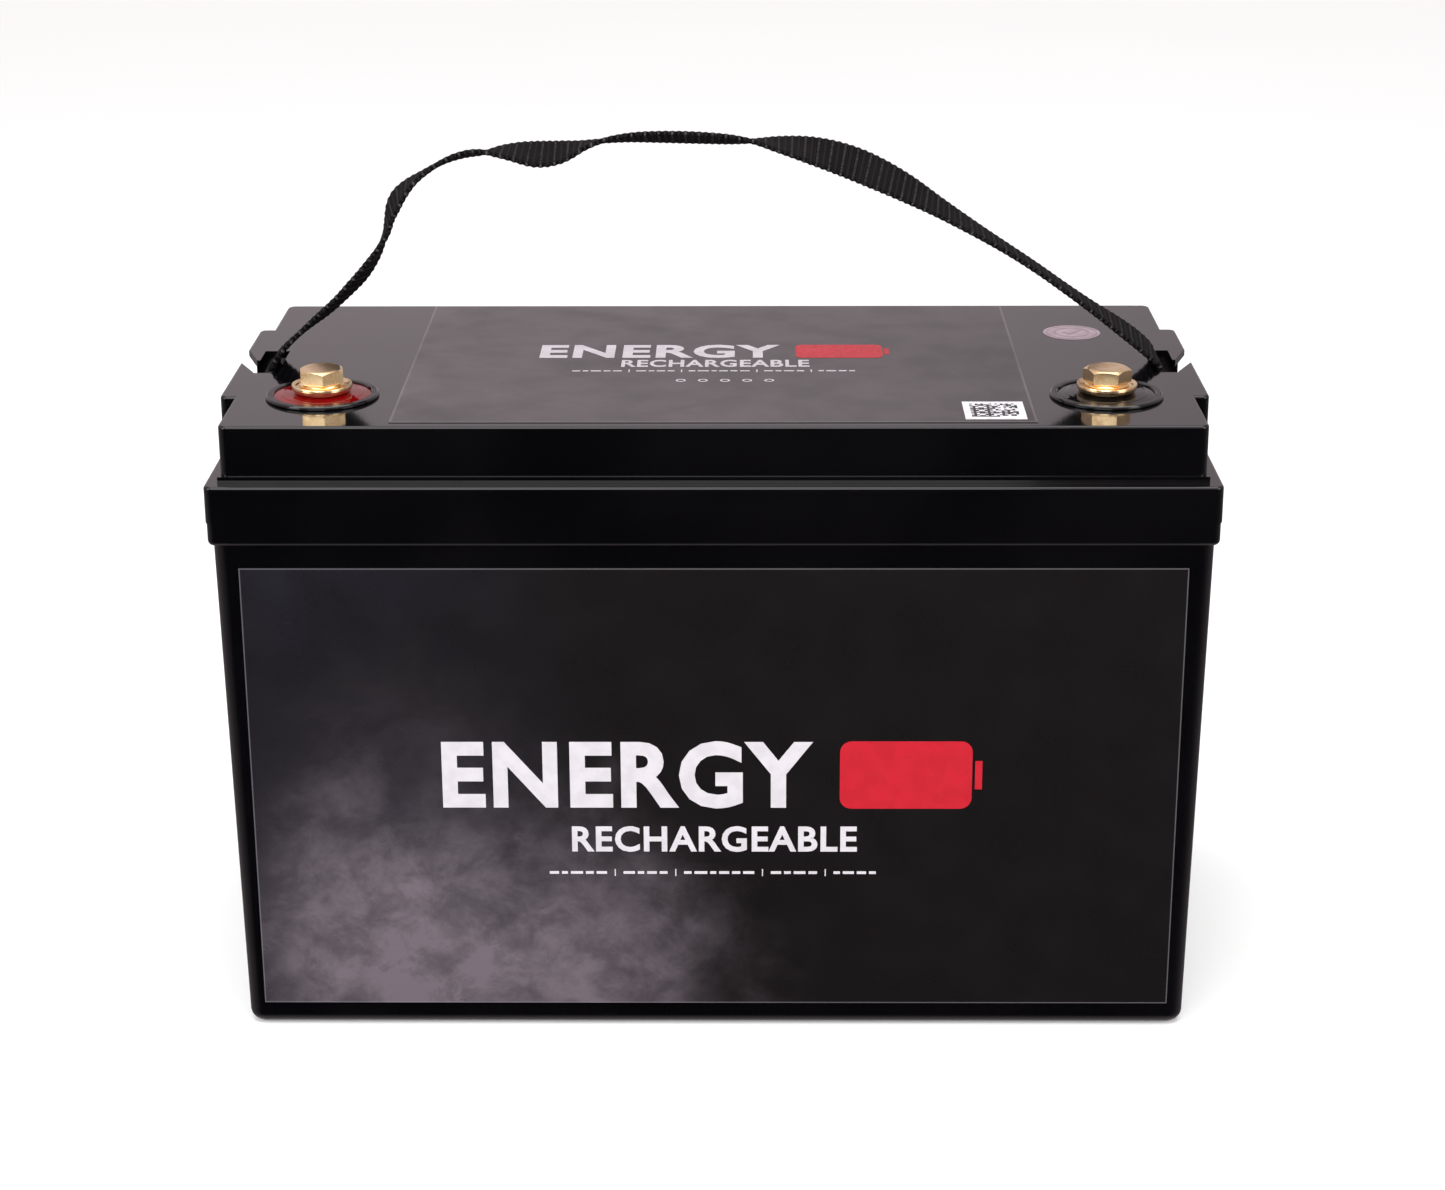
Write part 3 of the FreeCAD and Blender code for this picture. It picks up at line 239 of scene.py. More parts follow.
def edge_hairline(shader, across, along, box, inset, width):
    """1 on a thin line that runs inset inside the edges of box, which is (low, high) for each axis."""
    reach = []
    for value, (low, high) in ((across, box[0]), (along, box[1])):
        middle, half = (low + high) / 2, (high - low) / 2 - inset
        distance = shader.maths("ABSOLUTE", shader.maths("SUBTRACT", value, middle))
        reach.append(shader.maths("SUBTRACT", distance, half))
    nearest = shader.maths("MAXIMUM", *reach)
    return shader.inside(nearest, -width / 2, width / 2, width * 0.25)


def smoke(shader, across, along, wander, centre, reach):
    """A cloud that fades out from its centre, its edge moved about by wander."""
    parts = []
    for value, middle, half in zip((across, along), centre, reach):
        part = shader.maths("DIVIDE", shader.maths("SUBTRACT", value, middle), half)
        parts.append(shader.maths("MULTIPLY", part, part))
    distance = shader.maths("SQRT", shader.maths("ADD", *parts))
    return shader.spread(shader.maths("ADD", distance, wander), 1.55, 0.0)


def front_vinyl():
    """Charcoal print: smoke rising from the lower left, a blue haze above it, a thin pale edge."""
    low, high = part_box("front_label")
    shader = Shader("front_label_print", (0.011, 0.010, 0.011), 0.3, Specular_IOR_Level=0.3)
    across, _, along = shader.axes()
    billows = shader.noise(0.05, 9, 0.62, distortion=0.25)
    slanted = shader.stretched((1, 1, 1.2), turn=(0, 0.7, 0))
    wisps = shader.noise(0.017, 9, 0.7, vector=slanted, distortion=0.3)
    wander = shader.maths("MULTIPLY", shader.maths("SUBTRACT", billows, 0.5), 1.3)
    cloud = smoke(shader, across, along, wander, centre=(-0.088, 0.022), reach=(0.078, 0.054))
    plume = smoke(shader, across, along, wander, centre=(-0.098, 0.072), reach=(0.050, 0.048))
    cloud = shader.maths("ADD", cloud, shader.maths("MULTIPLY", plume, 0.16), clamp=True)
    cloud = shader.maths("MULTIPLY", cloud, shader.spread(wisps, 0.32, 0.68, 0.55, 1.25))
    cloud = shader.maths("MULTIPLY", cloud, shader.spread(across, low[0] - 0.01, low[0] + 0.03, 0.5, 1.0))
    across_share = shader.spread(across, -0.02, low[0])
    haze = shader.maths("MULTIPLY", across_share, shader.spread(billows, 0.35, 0.7, 0.3, 1.0))
    base = shader.mix(haze, (0.0064, 0.0052, 0.0056), (0.0125, 0.0120, 0.0190))
    base = shader.mix(cloud, base, (0.130, 0.108, 0.128))
    box = ((low[0], high[0]), (low[2], high[2]))
    # A pale hairline just inside the label's cut edge, drawn into the colour.
    line = edge_hairline(shader, across, along, box, inset=0.0002, width=0.0004)
    base = shader.mix(shader.maths("MULTIPLY", line, 0.3), base, (0.24, 0.23, 0.25))
    shader.colour(base)
    shader.roughness(shader.spread(shader.noise(0.02, 4), 0.35, 0.7, 0.27, 0.36))
    shader.bump(shader.noise(0.0006, 2), 0.000004)
    shader.bump(shader.noise(0.04, 2), 0.00003)
    return shader.material


def top_vinyl():
    """Dark grey satin film with a soft lighter haze and a thin pale edge."""
    low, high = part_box("top_label")
    shader = Shader("top_label_print", (0.05, 0.045, 0.05), 0.42, Specular_IOR_Level=0.5)
    across, along, _ = shader.axes()
    wisps = shader.noise(0.06, 5, 0.6, distortion=0.9)
    left = shader.spread(across, high[0], low[0], 0.2, 1.0)
    base = shader.mix(shader.maths("MULTIPLY", left, shader.spread(wisps, 0.35, 0.7)),
                      (0.024, 0.021, 0.023), (0.052, 0.046, 0.050))
    box = ((low[0], high[0]), (low[1], high[1]))
    # A pale hairline just inside the label's cut edge, drawn into the colour.
    line = edge_hairline(shader, across, along, box, inset=0.0004, width=0.0007)
    base = shader.mix(shader.maths("MULTIPLY", line, 0.22), base, (0.30, 0.27, 0.27))
    shader.colour(base)
    shader.roughness(shader.spread(shader.noise(0.015, 4), 0.35, 0.7, 0.30, 0.36))
    shader.bump(shader.noise(0.0006, 2), 0.000004)
    return shader.material


def ink(name, colour):
    """A printed ink, a little uneven."""
    roughness = 0.35
    shader = Shader(name, colour, roughness, Specular_IOR_Level=0.25)
    other = tuple(part * 0.9 for part in colour)
    tone(shader, colour, other, 0.006)
    shader.roughness(shader.spread(shader.noise(0.001, 3), 0.3, 0.7, roughness - 0.05, roughness + 0.07))
    shader.bump(shader.noise(0.0004, 2), 0.000004)
    return shader.material


def paper(name, colour, other):
    """Coated sticker paper."""
    shader = Shader(name, colour, 0.55)
    tone(shader, colour, other, 0.004)
    shader.roughness(shader.spread(shader.noise(0.0012, 4), 0.3, 0.7, 0.48, 0.62))
    shader.bump(shader.noise(0.0003, 3), 0.000006)
    return shader.material


def webbing():
    """Black woven polyester: ribs across the band, yarns along each rib, thicker selvedges. Its colour holds
    painted shade in the troughs and painted highlights on crests, yarns and every other rib.
    """
    shader = Shader("strap_webbing", (0.012, 0.012, 0.013), 0.8, Specular_IOR_Level=0.06)
    along, across = (shader.add("ShaderNodeAttribute", attribute_name=name).outputs["Fac"]
                     for name in ("along", "across"))
    rib = shader.maths("COSINE", shader.maths("MULTIPLY", along, 2 * math.pi / RIB_PITCH))
    pair = shader.maths("COSINE", shader.maths("MULTIPLY", along, math.pi / RIB_PITCH))
    strand = shader.maths("COSINE", shader.maths("MULTIPLY", across, 2 * math.pi / STRAND_PITCH))
    crest = shader.spread(rib, -0.2, 1.0)
    # Where the painted highlights go: dots along every other rib, where the strands cross it.
    bright = shader.maths("MULTIPLY", shader.spread(pair, 0.70, 1.0), shader.spread(strand, -0.4, 0.6))
    lanes = [shader.maths("SINE", shader.maths("MULTIPLY", value, 9.0 / pitch))
             for value, pitch in ((along, RIB_PITCH), (across, STRAND_PITCH))]
    grain = shader.maths("MULTIPLY", *lanes)
    fuzz = shader.noise(0.0005, 4, 0.7)
    patchy = shader.noise(0.0011, 2, 0.6)
    # Painted light and shade: lighter on the raised rib crests, darker in the troughs between them.
    base = shader.mix(crest, (0.0014, 0.0013, 0.0015), (0.0085, 0.0080, 0.0085))
    # Painted highlights on the raised yarns, which the bump also lifts.
    yarns = shader.maths("MULTIPLY", shader.spread(grain, 0.0, 0.8), 0.5)
    base = shader.mix(yarns, base, (0.026, 0.024, 0.026))
    # Painted highlights: light dots on every other rib, patchy along it.
    rib_glints = shader.maths("MULTIPLY", bright, shader.spread(patchy, 0.35, 0.6))
    base = shader.mix(rib_glints, base, (0.070, 0.065, 0.070))
    faded = shader.spread(shader.noise(0.018, 4), 0.4, 0.75)
    shader.colour(shader.mix(shader.maths("MULTIPLY", faded, 0.25), base, (0.014, 0.013, 0.014)))
    shader.roughness(shader.spread(fuzz, 0.3, 0.7, 0.72, 0.9))
    shader.bump(crest, 0.00022)
    shader.bump(bright, 0.00012)
    shader.bump(grain, 0.00005)
    shader.bump(fuzz, 0.00003)
    return shader.material


def board():
    """A green circuit board with faint tracks."""
    shader = Shader("circuit_board", (0.008, 0.05, 0.02), 0.3, Coat_Weight=0.3)
    _, along, up = shader.axes()
    lanes = []
    for value, pitch in ((along, 0.0031), (up, 0.0047)):
        wave = shader.maths("SINE", shader.maths("MULTIPLY", value, 2 * math.pi / pitch))
        lanes.append(shader.spread(wave, 0.75, 0.9))
    tracks = shader.maths("MAXIMUM", *lanes)
    tracks = shader.maths("MULTIPLY", tracks, shader.spread(shader.noise(0.012, 1), 0.5, 0.55))
    shader.colour(shader.mix(tracks, (0.008, 0.05, 0.02), (0.02, 0.12, 0.045)))
    shader.roughness(shader.spread(shader.noise(0.003, 3), 0.3, 0.7, 0.25, 0.38))
    shader.bump(tracks, 0.00003)
    return shader.material


def foam():
    """Dark packing foam with open cells, with painted shade in the cell hollows."""
    cell_size = 0.0011
    shader = Shader("foam", (0.035, 0.036, 0.04), 0.95)
    cells = shader.add("ShaderNodeTexVoronoi")
    shader.link(shader.place, cells.inputs["Vector"])
    cells.inputs["Scale"].default_value = 1 / cell_size
    pores = shader.spread(cells.outputs["Distance"], 0.1, 0.5)
    # Painted shade: the cell hollows are darker than their rims.
    shader.colour(shader.mix(pores, (0.012, 0.012, 0.014), (0.055, 0.056, 0.062)))
    shader.roughness(shader.spread(shader.noise(0.004, 3), 0.3, 0.7, 0.88, 1.0))
    shader.bump(pores, 0.0004)
    return shader.material


def cable(name, colour, other):
    """The insulation of a lead."""
    shader = Shader(name, colour, 0.38, Coat_Weight=0.1)
    tone(shader, colour, other, 0.01)
    shader.roughness(shader.spread(shader.noise(0.002, 3), 0.3, 0.7, 0.3, 0.46))
    shader.bump(shader.noise(0.0015, 3), 0.00003)
    return shader.material


def make_materials():
    """One material for each of the record's slots, apart from the two labels and the strap."""
    return {
        "case_plastic": glossy_plastic("case_plastic", (0.0012, 0.0011, 0.0015),
                                       (0.0022, 0.0020, 0.0026), 0.08).material,
        "terminal_plastic": glossy_plastic("terminal_plastic", (0.0014, 0.0013, 0.0016),
                                           (0.003, 0.003, 0.0034), 0.1, wave=0.00001).material,
        "resin_red": resin("resin_red", (0.16, 0.0006, 0.0018), (0.11, 0.0005, 0.0014)).material,
        "resin_black": resin("resin_black", (0.002, 0.0018, 0.0018),
                             (0.004, 0.0035, 0.0035)).material,
        "terminal_brass": metal("terminal_brass", (0.93, 0.70, 0.40), (0.80, 0.54, 0.28), 0.2).material,
        "seal_rubber": matt_plastic("seal_rubber", (0.01, 0.01, 0.011), (0.02, 0.02, 0.02), 0.7).material,
        "front_label_vinyl": front_vinyl(),
        "top_label_vinyl": top_vinyl(),
        "sticker_white": paper("sticker_white", (0.72, 0.72, 0.74), (0.62, 0.62, 0.65)),
        "sticker_pink": paper("sticker_pink", (0.26, 0.20, 0.23), (0.32, 0.25, 0.28)),
        "webbing": webbing(),
        "zinc_steel": metal("zinc_steel", (0.58, 0.57, 0.55), (0.42, 0.42, 0.42), 0.34).material,
        "can_aluminium": metal("can_aluminium", (0.66, 0.67, 0.69), (0.55, 0.56, 0.58), 0.36,
                               grain=(6, 6, 0.3)).material,
        "bright_aluminium": metal("bright_aluminium", (0.78, 0.79, 0.80),
                                  (0.62, 0.63, 0.65), 0.28).material,
        "electrode": matt_plastic("electrode", (0.05, 0.05, 0.055), (0.09, 0.06, 0.04), 0.6).material,
        "epoxy_board": matt_plastic("epoxy_board", (0.16, 0.22, 0.10), (0.22, 0.28, 0.14), 0.45).material,
        "band_plastic": matt_plastic("band_plastic", (0.45, 0.42, 0.12), (0.52, 0.48, 0.18), 0.4).material,
        "foam": foam(),
        "circuit_board": board(),
        "chip_plastic": matt_plastic("chip_plastic", (0.012, 0.012, 0.013),
                                     (0.02, 0.02, 0.022), 0.5).material,
        "shunt_alloy": metal("shunt_alloy", (0.55, 0.42, 0.32), (0.45, 0.34, 0.26), 0.35).material,
        "connector_nylon": matt_plastic("connector_nylon", (0.72, 0.70, 0.62),
                                        (0.62, 0.60, 0.52), 0.42).material,
        "lead_red": cable("lead_red", (0.32, 0.012, 0.010), (0.40, 0.02, 0.016)),
        "lead_black": cable("lead_black", (0.012, 0.012, 0.013), (0.02, 0.02, 0.021)),
        "tinned_copper": metal("tinned_copper", (0.70, 0.68, 0.64), (0.60, 0.52, 0.42), 0.32).material,
    }


def dress_nodes(materials):
    """Give each CAD node the material of its slot in the record."""
    slot_of = {part["node"]: part["material_slot"] for part in frame["record"]["subparts"]}
    for name, item in NODES.items():
        for place in item.material_slots:
            place.material = materials[slot_of[name]]


# ---------------------------------------------------------------- mesh helpers
def mesh_piece(name, build, material, body="root", smooth=35):
    """A new object from build(bmesh), shaded smooth below an angle in degrees, riding on a body."""
    shape = bmesh.new()
    build(shape)
    bmesh.ops.recalc_face_normals(shape, faces=shape.faces)
    mesh = bpy.data.meshes.new(name)
    shape.to_mesh(mesh)
    shape.free()
    mesh.shade_smooth()
    mesh.set_sharp_from_angle(angle=math.radians(smooth))
    mesh.materials.append(material)
    item = bpy.data.objects.new(name, mesh)
    bpy.context.collection.objects.link(item)
    if body:
        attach(item, body)
    return item


class Panel:
    """A printed face: a corner point with its rightward and upward directions."""

    LIFT = 0.00003            # from the face to the underside of the ink
    INK = 0.00003             # the ink's own thickness

    def __init__(self, corner, right, up):
        self.corner = Vector(corner)
        self.right = Vector(right).normalized()
        self.up = Vector(up).normalized()
        self.out = self.right.cross(self.up)

    def point(self, across, along, height=0.0):
        """The place of a point on the panel, height above the ink's underside."""
        return self.corner + self.right * across + self.up * along + self.out * (self.LIFT + height)

    def prism(self, shape, outline):
        """A thin ink patch with the given outline, its points in metres across and along the panel."""
        rings = [[shape.verts.new(self.point(x, y, height)) for x, y in outline]
                 for height in (0.0, self.INK)]
        shape.faces.new(rings[1])
        shape.faces.new(list(reversed(rings[0])))
        count = len(outline)
        for index in range(count):
            after = (index + 1) % count
            shape.faces.new((rings[0][index], rings[0][after], rings[1][after], rings[1][index]))


def bar(x, y, width, height):
    """The outline of an upright rectangle centred at x, y."""
    return [(x - width / 2, y - height / 2), (x + width / 2, y - height / 2),
            (x + width / 2, y + height / 2), (x - width / 2, y + height / 2)]


def rounded_bar(x, y, width, height, radius):
    """The same outline with rounded corners."""
    steps = 6
    points = []
    for quarter, (sx, sy) in enumerate(((1, 1), (-1, 1), (-1, -1), (1, -1))):
        for step in range(steps + 1):
            angle = math.radians(90 * (quarter + step / steps))
            points.append((x + sx * (width / 2 - radius) + radius * math.cos(angle),
                           y + sy * (height / 2 - radius) + radius * math.sin(angle)))
    return points


def ring(shape, panel, x, y, outer, inner, steps=48):
    """A flat ring of ink."""
    loops = []
    for radius, height in ((outer, 0), (outer, panel.INK), (inner, panel.INK), (inner, 0)):
        loops.append([shape.verts.new(panel.point(x + radius * math.cos(2 * math.pi * step / steps),
                                                  y + radius * math.sin(2 * math.pi * step / steps), height))
                      for step in range(steps)])
    for index, loop in enumerate(loops):
        other = loops[(index + 1) % len(loops)]
        for step in range(steps):
            after = (step + 1) % steps
            shape.faces.new((loop[step], loop[after], other[after], other[step]))


def word(shape, panel, text, box, weight):
    """Plain lettering fitted to a box on the panel: left, bottom, width and height. weight thickens it."""
    left, bottom, width, height = box
    curve = bpy.data.curves.new("lettering", "FONT")
    curve.body = text
    curve.offset = weight
    curve.space_character = 1 + 3 * weight
    curve.resolution_u = 4
    stand = bpy.data.objects.new("lettering", curve)
    bpy.context.collection.objects.link(stand)
    bpy.context.view_layer.update()
    drawn = bpy.data.meshes.new_from_object(stand.evaluated_get(bpy.context.evaluated_depsgraph_get()))
    xs = [vertex.co.x for vertex in drawn.vertices]
    ys = [vertex.co.y for vertex in drawn.vertices]
    grow = (width / (max(xs) - min(xs)), height / (max(ys) - min(ys)))
    letters = bmesh.new()
    letters.from_mesh(drawn)
    bmesh.ops.remove_doubles(letters, verts=letters.verts, dist=1e-5)
    letters.verts.index_update()
    places = [(left + (vertex.co.x - min(xs)) * grow[0], bottom + (vertex.co.y - min(ys)) * grow[1])
              for vertex in letters.verts]
    under, over = ([shape.verts.new(panel.point(x, y, height)) for x, y in places]
                   for height in (0.0, panel.INK))
    for face in letters.faces:
        corners = [vertex.index for vertex in face.verts]
        shape.faces.new([over[index] for index in corners])
        shape.faces.new([under[index] for index in reversed(corners)])
    rims = sorted(sorted(vertex.index for vertex in edge.verts) for edge in letters.edges if edge.is_boundary)
    for first, second in rims:
        shape.faces.new((under[first], under[second], over[second], over[first]))
    letters.free()
    bpy.data.objects.remove(stand)
    bpy.data.curves.remove(curve)
    bpy.data.meshes.remove(drawn)


# ---------------------------------------------------------------- printing
def front_panel():
    """The front label's outer face: its origin is below the middle of the label, at the floor's height."""
    low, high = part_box("front_label")
    middle = (low[2] + high[2]) / 2
    points = [vertex.co for vertex in NODES["front_label"].data.vertices]
    bottom = min((point for point in points if point.z < middle), key=lambda point: point.y)
    top = min((point for point in points if point.z > middle), key=lambda point: point.y)
    lean = (bottom.y - top.y) / (top.z - bottom.z)
    return Panel((0, bottom.y + bottom.z * lean, 0), (1, 0, 0), (0, -lean, 1))


def top_panel(node):
    """The upper face of a flat node, its origin at the frame's."""
    return Panel((0, 0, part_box(node)[1][2]), (1, 0, 0), (0, 1, 0))


def battery_sign(shape, panel, x, y, width, height):
    """A plain battery pictogram: a rounded case with a terminal on its right."""
    case, corner = width * 0.92, height * 0.16
    tip_x, tip_width, tip_height = x + width / 2 - width * 0.035, width * 0.05, height * 0.42
    panel.prism(shape, rounded_bar(x - (width - case) / 2, y, case, height, corner))
    panel.prism(shape, bar(tip_x, y, tip_width, tip_height))


# The lengths of the dashes in each group, in the same unit as the gaps between them.
DASH_GROUPS = [(2.6, 1.7, 3.4, 2.2, 2.9), (3.2, 1.8, 2.7, 2.2), (2.1, 3.6, 1.7, 2.8, 2.3, 3.1),
               (2.9, 1.9, 3.3, 2.4), (1.8, 3.1, 2.6, 1.9)]


def dashes(shape, panel, left, right, y, height):
    """Groups of short plain dashes with thin bars between them, in the place of small writing."""
    gap, between = 0.8, 4.6
    whole = sum(sum(group) + gap * (len(group) - 1) for group in DASH_GROUPS)
    whole += between * (len(DASH_GROUPS) - 1)
    unit = (right - left) / whole
    x = left
    for group in DASH_GROUPS:
        if x > left:
            panel.prism(shape, bar(x - between * unit / 2, y, height * 0.35, height * 2.6))
        for length in group:
            panel.prism(shape, bar(x + length * unit / 2, y, length * unit, height))
            x += (length + gap) * unit
        x += (between - gap) * unit


BOLD, MEDIUM = 0.034, 0.026   # stroke weights of the large and the small word


def print_front_label(white, red):
    """One word, a pictogram, a second word and a row of dashes."""
    panel = front_panel()

    def words(shape):
        word(shape, panel, "ENERGY", (-0.091, 0.0815, 0.124, 0.0245), BOLD)
        word(shape, panel, "RECHARGEABLE", (-0.048, 0.0655, 0.096, 0.0095), MEDIUM)
        dashes(shape, panel, left=-0.0558, right=0.0545, y=0.0578, height=0.001)

    def sign(shape):
        battery_sign(shape, panel, x=0.066, y=0.0937, width=0.048, height=0.0245)

    mesh_piece("front_label_lettering", words, white)
    mesh_piece("front_label_sign", sign, red)


def print_top_label(white, red):
    """The same print as on the front, with a row of rings below it."""
    panel = top_panel("top_label")
    first_ring, ring_pitch, ring_y = -0.0115, 0.0075, -0.0258

    def words(shape):
        word(shape, panel, "ENERGY", (-0.0615, 0.0039, 0.084, 0.0179), BOLD)
        word(shape, panel, "RECHARGEABLE", (-0.0325, -0.0082, 0.065, 0.0094), MEDIUM)
        dashes(shape, panel, left=-0.049, right=0.048, y=-0.0134, height=0.0013)
        for index in range(5):
            ring(shape, panel, first_ring + index * ring_pitch, ring_y, outer=0.0017, inner=0.0011, steps=24)

    def sign(shape):
        battery_sign(shape, panel, x=0.0445, y=0.0128, width=0.033, height=0.0179)

    mesh_piece("top_label_lettering", words, white)
    mesh_piece("top_label_sign", sign, red)


def print_data_sticker(black):
    """A square field of blocks in a simple repeating pattern that encodes nothing."""
    low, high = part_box("data_sticker")
    panel = top_panel("data_sticker")
    cells, share, fill = 17, 0.78, 0.96
    pitch = (high[0] - low[0]) * share / cells
    left = (low[0] + high[0]) / 2 - pitch * cells / 2
    foot = (low[1] + high[1]) / 2 - pitch * cells / 2

    def blocks(shape):
        for column in range(cells):
            for row in range(cells):
                if math.sin(12.9 * column + 78.2 * row + 3.7 * column * row) > -0.05:
                    panel.prism(shape, bar(left + (column + 0.5) * pitch, foot + (row + 0.5) * pitch,
                                           pitch * fill, pitch * fill))

    mesh_piece("data_sticker_blocks", blocks, black)


def print_check_sticker(grey):
    """Two rings and a tick, whose corners are in parts of the sticker's radius."""
    low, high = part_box("check_sticker")
    panel = top_panel("check_sticker")
    x, y = (low[0] + high[0]) / 2, (low[1] + high[1]) / 2
    radius = (high[0] - low[0]) / 2

    tick = [(-0.34, 0.02), (-0.08, -0.3), (0.38, 0.28), (0.30, 0.35), (-0.09, -0.14), (-0.26, 0.09)]

    def marks(shape):
        for outer, inner in ((0.9, 0.86), (0.62, 0.57)):
            ring(shape, panel, x, y, radius * outer, radius * inner)
        panel.prism(shape, [(x + radius * across, y + radius * along) for across, along in tick])

    mesh_piece("check_sticker_marks", marks, grey)


# ---------------------------------------------------------------- carry strap
# The webbing's route over the lid, from left to right: X and Z in millimetres, in the plane Y = 0.
STRAP_ROUTE = [(-125, 239.5), (-113, 257), (-110, 272), (-91, 286), (-73, 288.2), (-55, 285.8),
               (-36, 292.3), (-12, 292.6), (16, 291), (40, 286.5), (62, 277), (84, 263.7), (107, 249.5),
               (124, 237.3)]
# How far the webbing is turned about its own line at an X in millimetres: degrees, far edge up.
STRAP_TWIST = [(-153, 0), (-150, -2), (-143, -6), (-136, -10), (-128, -11), (-123, -12), (-118, -8),
               (-115, -2), (-111.5, 10), (-109, 12), (-106, 7), (-101, -2), (-96, -6), (-86, -12), (-79, -12),
               (-72, -1), (-61, 12), (-52, 9), (-43, -5), (-34, -13), (-18, -18), (2, -17), (12, -11),
               (23, 4), (36, 17), (50, 22), (64, 17), (78, 7), (97, -1), (118, -2), (130, 0), (142, 5),
               (150, 5), (153, 0)]
STRAP_SPLIT = -12 * MM        # where the two halves meet
STRAP_FLAT_BELOW = 216 * MM   # under this height the webbing isn't twisted
STRAP_BEND_FROM = 215.5 * MM  # the height at which it leaves the lid
LEFT_BEND_TO = 252 * MM       # and a height for each half
RIGHT_BEND_TO = 244 * MM
WEB_HALF_WIDTH = 10 * MM
WEB_HALF_THICK = 0.9 * MM
RIB_SWELL = 0.10              # how much thicker the band is on a rib
EDGE_SCALLOP = 0.028          # how much wider it is there


def loop_points(pin_x, pin_z, end):
    """Control points of one sewn loop round its pin, from the tail to the strap: end is -1 at the left."""
    layer = 0.95 * MM
    reach = 4.1 * MM
    tail, throat, rise = 6.4 * MM, 4.9 * MM, 12 * MM
    points = [(pin_x + end * layer, pin_z + tail), (pin_x + end * layer, pin_z + throat)]
    for step in range(5):
        angle = math.radians(150 + 60 * step)
        points.append((pin_x - end * reach * math.cos(angle), pin_z + reach * math.sin(angle)))
    return points + [(pin_x - end * layer, pin_z + throat), (pin_x - end * layer, pin_z + rise)]


def strap_line():
    """Points along the webbing's centre line, tail to tail, read from one smooth spline."""
    low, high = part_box("strap_pins")
    radius = (high[2] - low[2]) / 2
    pin_z = (high[2] + low[2]) / 2
    route = loop_points(low[0] + radius, pin_z, -1)
    route += [(x * MM, z * MM) for x, z in STRAP_ROUTE]
    route += reversed(loop_points(high[0] - radius, pin_z, 1))
    curve = bpy.data.curves.new("strap_line", "CURVE")
    curve.dimensions = "3D"
    curve.resolution_u = 64
    spline = curve.splines.new("NURBS")
    spline.points.add(len(route) - 1)
    for point, (x, z) in zip(spline.points, route):
        point.co = (x, 0, z, 1)
    spline.order_u = 3
    spline.use_endpoint_u = True
    stand = bpy.data.objects.new("strap_line", curve)
    drawn = bpy.data.meshes.new_from_object(stand)
    line = [vertex.co.copy() for vertex in drawn.vertices]
    bpy.data.objects.remove(stand)
    bpy.data.curves.remove(curve)
    bpy.data.meshes.remove(drawn)
    return line


def evenly(line, step):
    """The same line with a point every step metres."""
    points = [line[0]]
    spare = 0.0
    for start, stop in zip(line, line[1:]):
        run = (stop - start).length
        while spare + run >= step:
            share = (step - spare) / run
            start = start.lerp(stop, share)
            points.append(start)
            run = (stop - start).length
            spare = 0.0
        spare += run
    return points


def eased(table, x):
    """The table's value at x, on a smooth curve through its entries."""
    if x <= table[0][0]:
        return table[0][1]
    for index in range(len(table) - 1):
        (x0, v0), (x1, v1) = table[index], table[index + 1]
        if x <= x1:
            before, after = table[max(index - 1, 0)], table[min(index + 2, len(table) - 1)]
            slope0 = (v1 - before[1]) / (x1 - before[0]) * (x1 - x0)
            slope1 = (after[1] - v0) / (after[0] - x0) * (x1 - x0)
            t = (x - x0) / (x1 - x0)
            return (v0 * (1 + 2 * t) * (1 - t) ** 2 + slope0 * t * (1 - t) ** 2
                    + v1 * t * t * (3 - 2 * t) + slope1 * t * t * (t - 1))
    return table[-1][1]


def webbing_outline():
    """The band's section, as (across, lift) pairs: flat faces and thicker rounded selvedges."""
    half = [0.25, 0.5, 0.7, 0.84, 0.90, 0.955, 0.98]
    stations = [-share for share in reversed(half)] + [0] + half
    bead_size, bead_place, bead_spread = 0.16, 0.92, 0.05
    squareness, flat = 26, 0.86
    top = []
    for share in stations:
        bead = bead_size * math.exp(-((abs(share) - bead_place) / bead_spread) ** 2)
        full = max(0.0, 1 - abs(share) ** squareness) ** 0.5
        top.append((share * WEB_HALF_WIDTH, WEB_HALF_THICK * (full * flat + bead)))
    return ([(-WEB_HALF_WIDTH, 0.0)] + top + [(WEB_HALF_WIDTH, 0.0)]
            + [(across, -lift) for across, lift in reversed(top)])


def webbing_mesh(shape, line, travelled):
    """Sections of the webbing along part of its line, with raised ribs and scalloped edges."""
    along_layer = shape.verts.layers.float.new("along")
    across_layer = shape.verts.layers.float.new("across")
    outline = webbing_outline()
    rings = []
    for index, centre in enumerate(line):
        ahead = line[min(index + 1, len(line) - 1)] - line[max(index - 1, 0)]
        ahead.normalize()
        out = Vector((-ahead.z, 0, ahead.x))
        turn = math.radians(eased(STRAP_TWIST, centre.x / MM))
        if centre.z < STRAP_FLAT_BELOW:
            turn = 0.0
        wide = Vector((0, math.cos(turn), 0)) + out * math.sin(turn)
        face = ahead.cross(wide)
        phase = 2 * math.pi * travelled[index] / RIB_PITCH
        rib = 1 + RIB_SWELL * math.cos(phase)
        edge = 1 + EDGE_SCALLOP * math.cos(phase)
        ring = []
        for across, lift in outline:
            vertex = shape.verts.new(centre + wide * across * edge - face * lift * rib)
            vertex[along_layer] = travelled[index]
            vertex[across_layer] = across
            ring.append(vertex)
        rings.append(ring)
    for ring, following in zip(rings, rings[1:]):
        for index in range(len(outline)):
            after = (index + 1) % len(outline)
            shape.faces.new((ring[index], ring[after], following[after], following[index]))
    shape.faces.new(rings[0])
    shape.faces.new(list(reversed(rings[-1])))


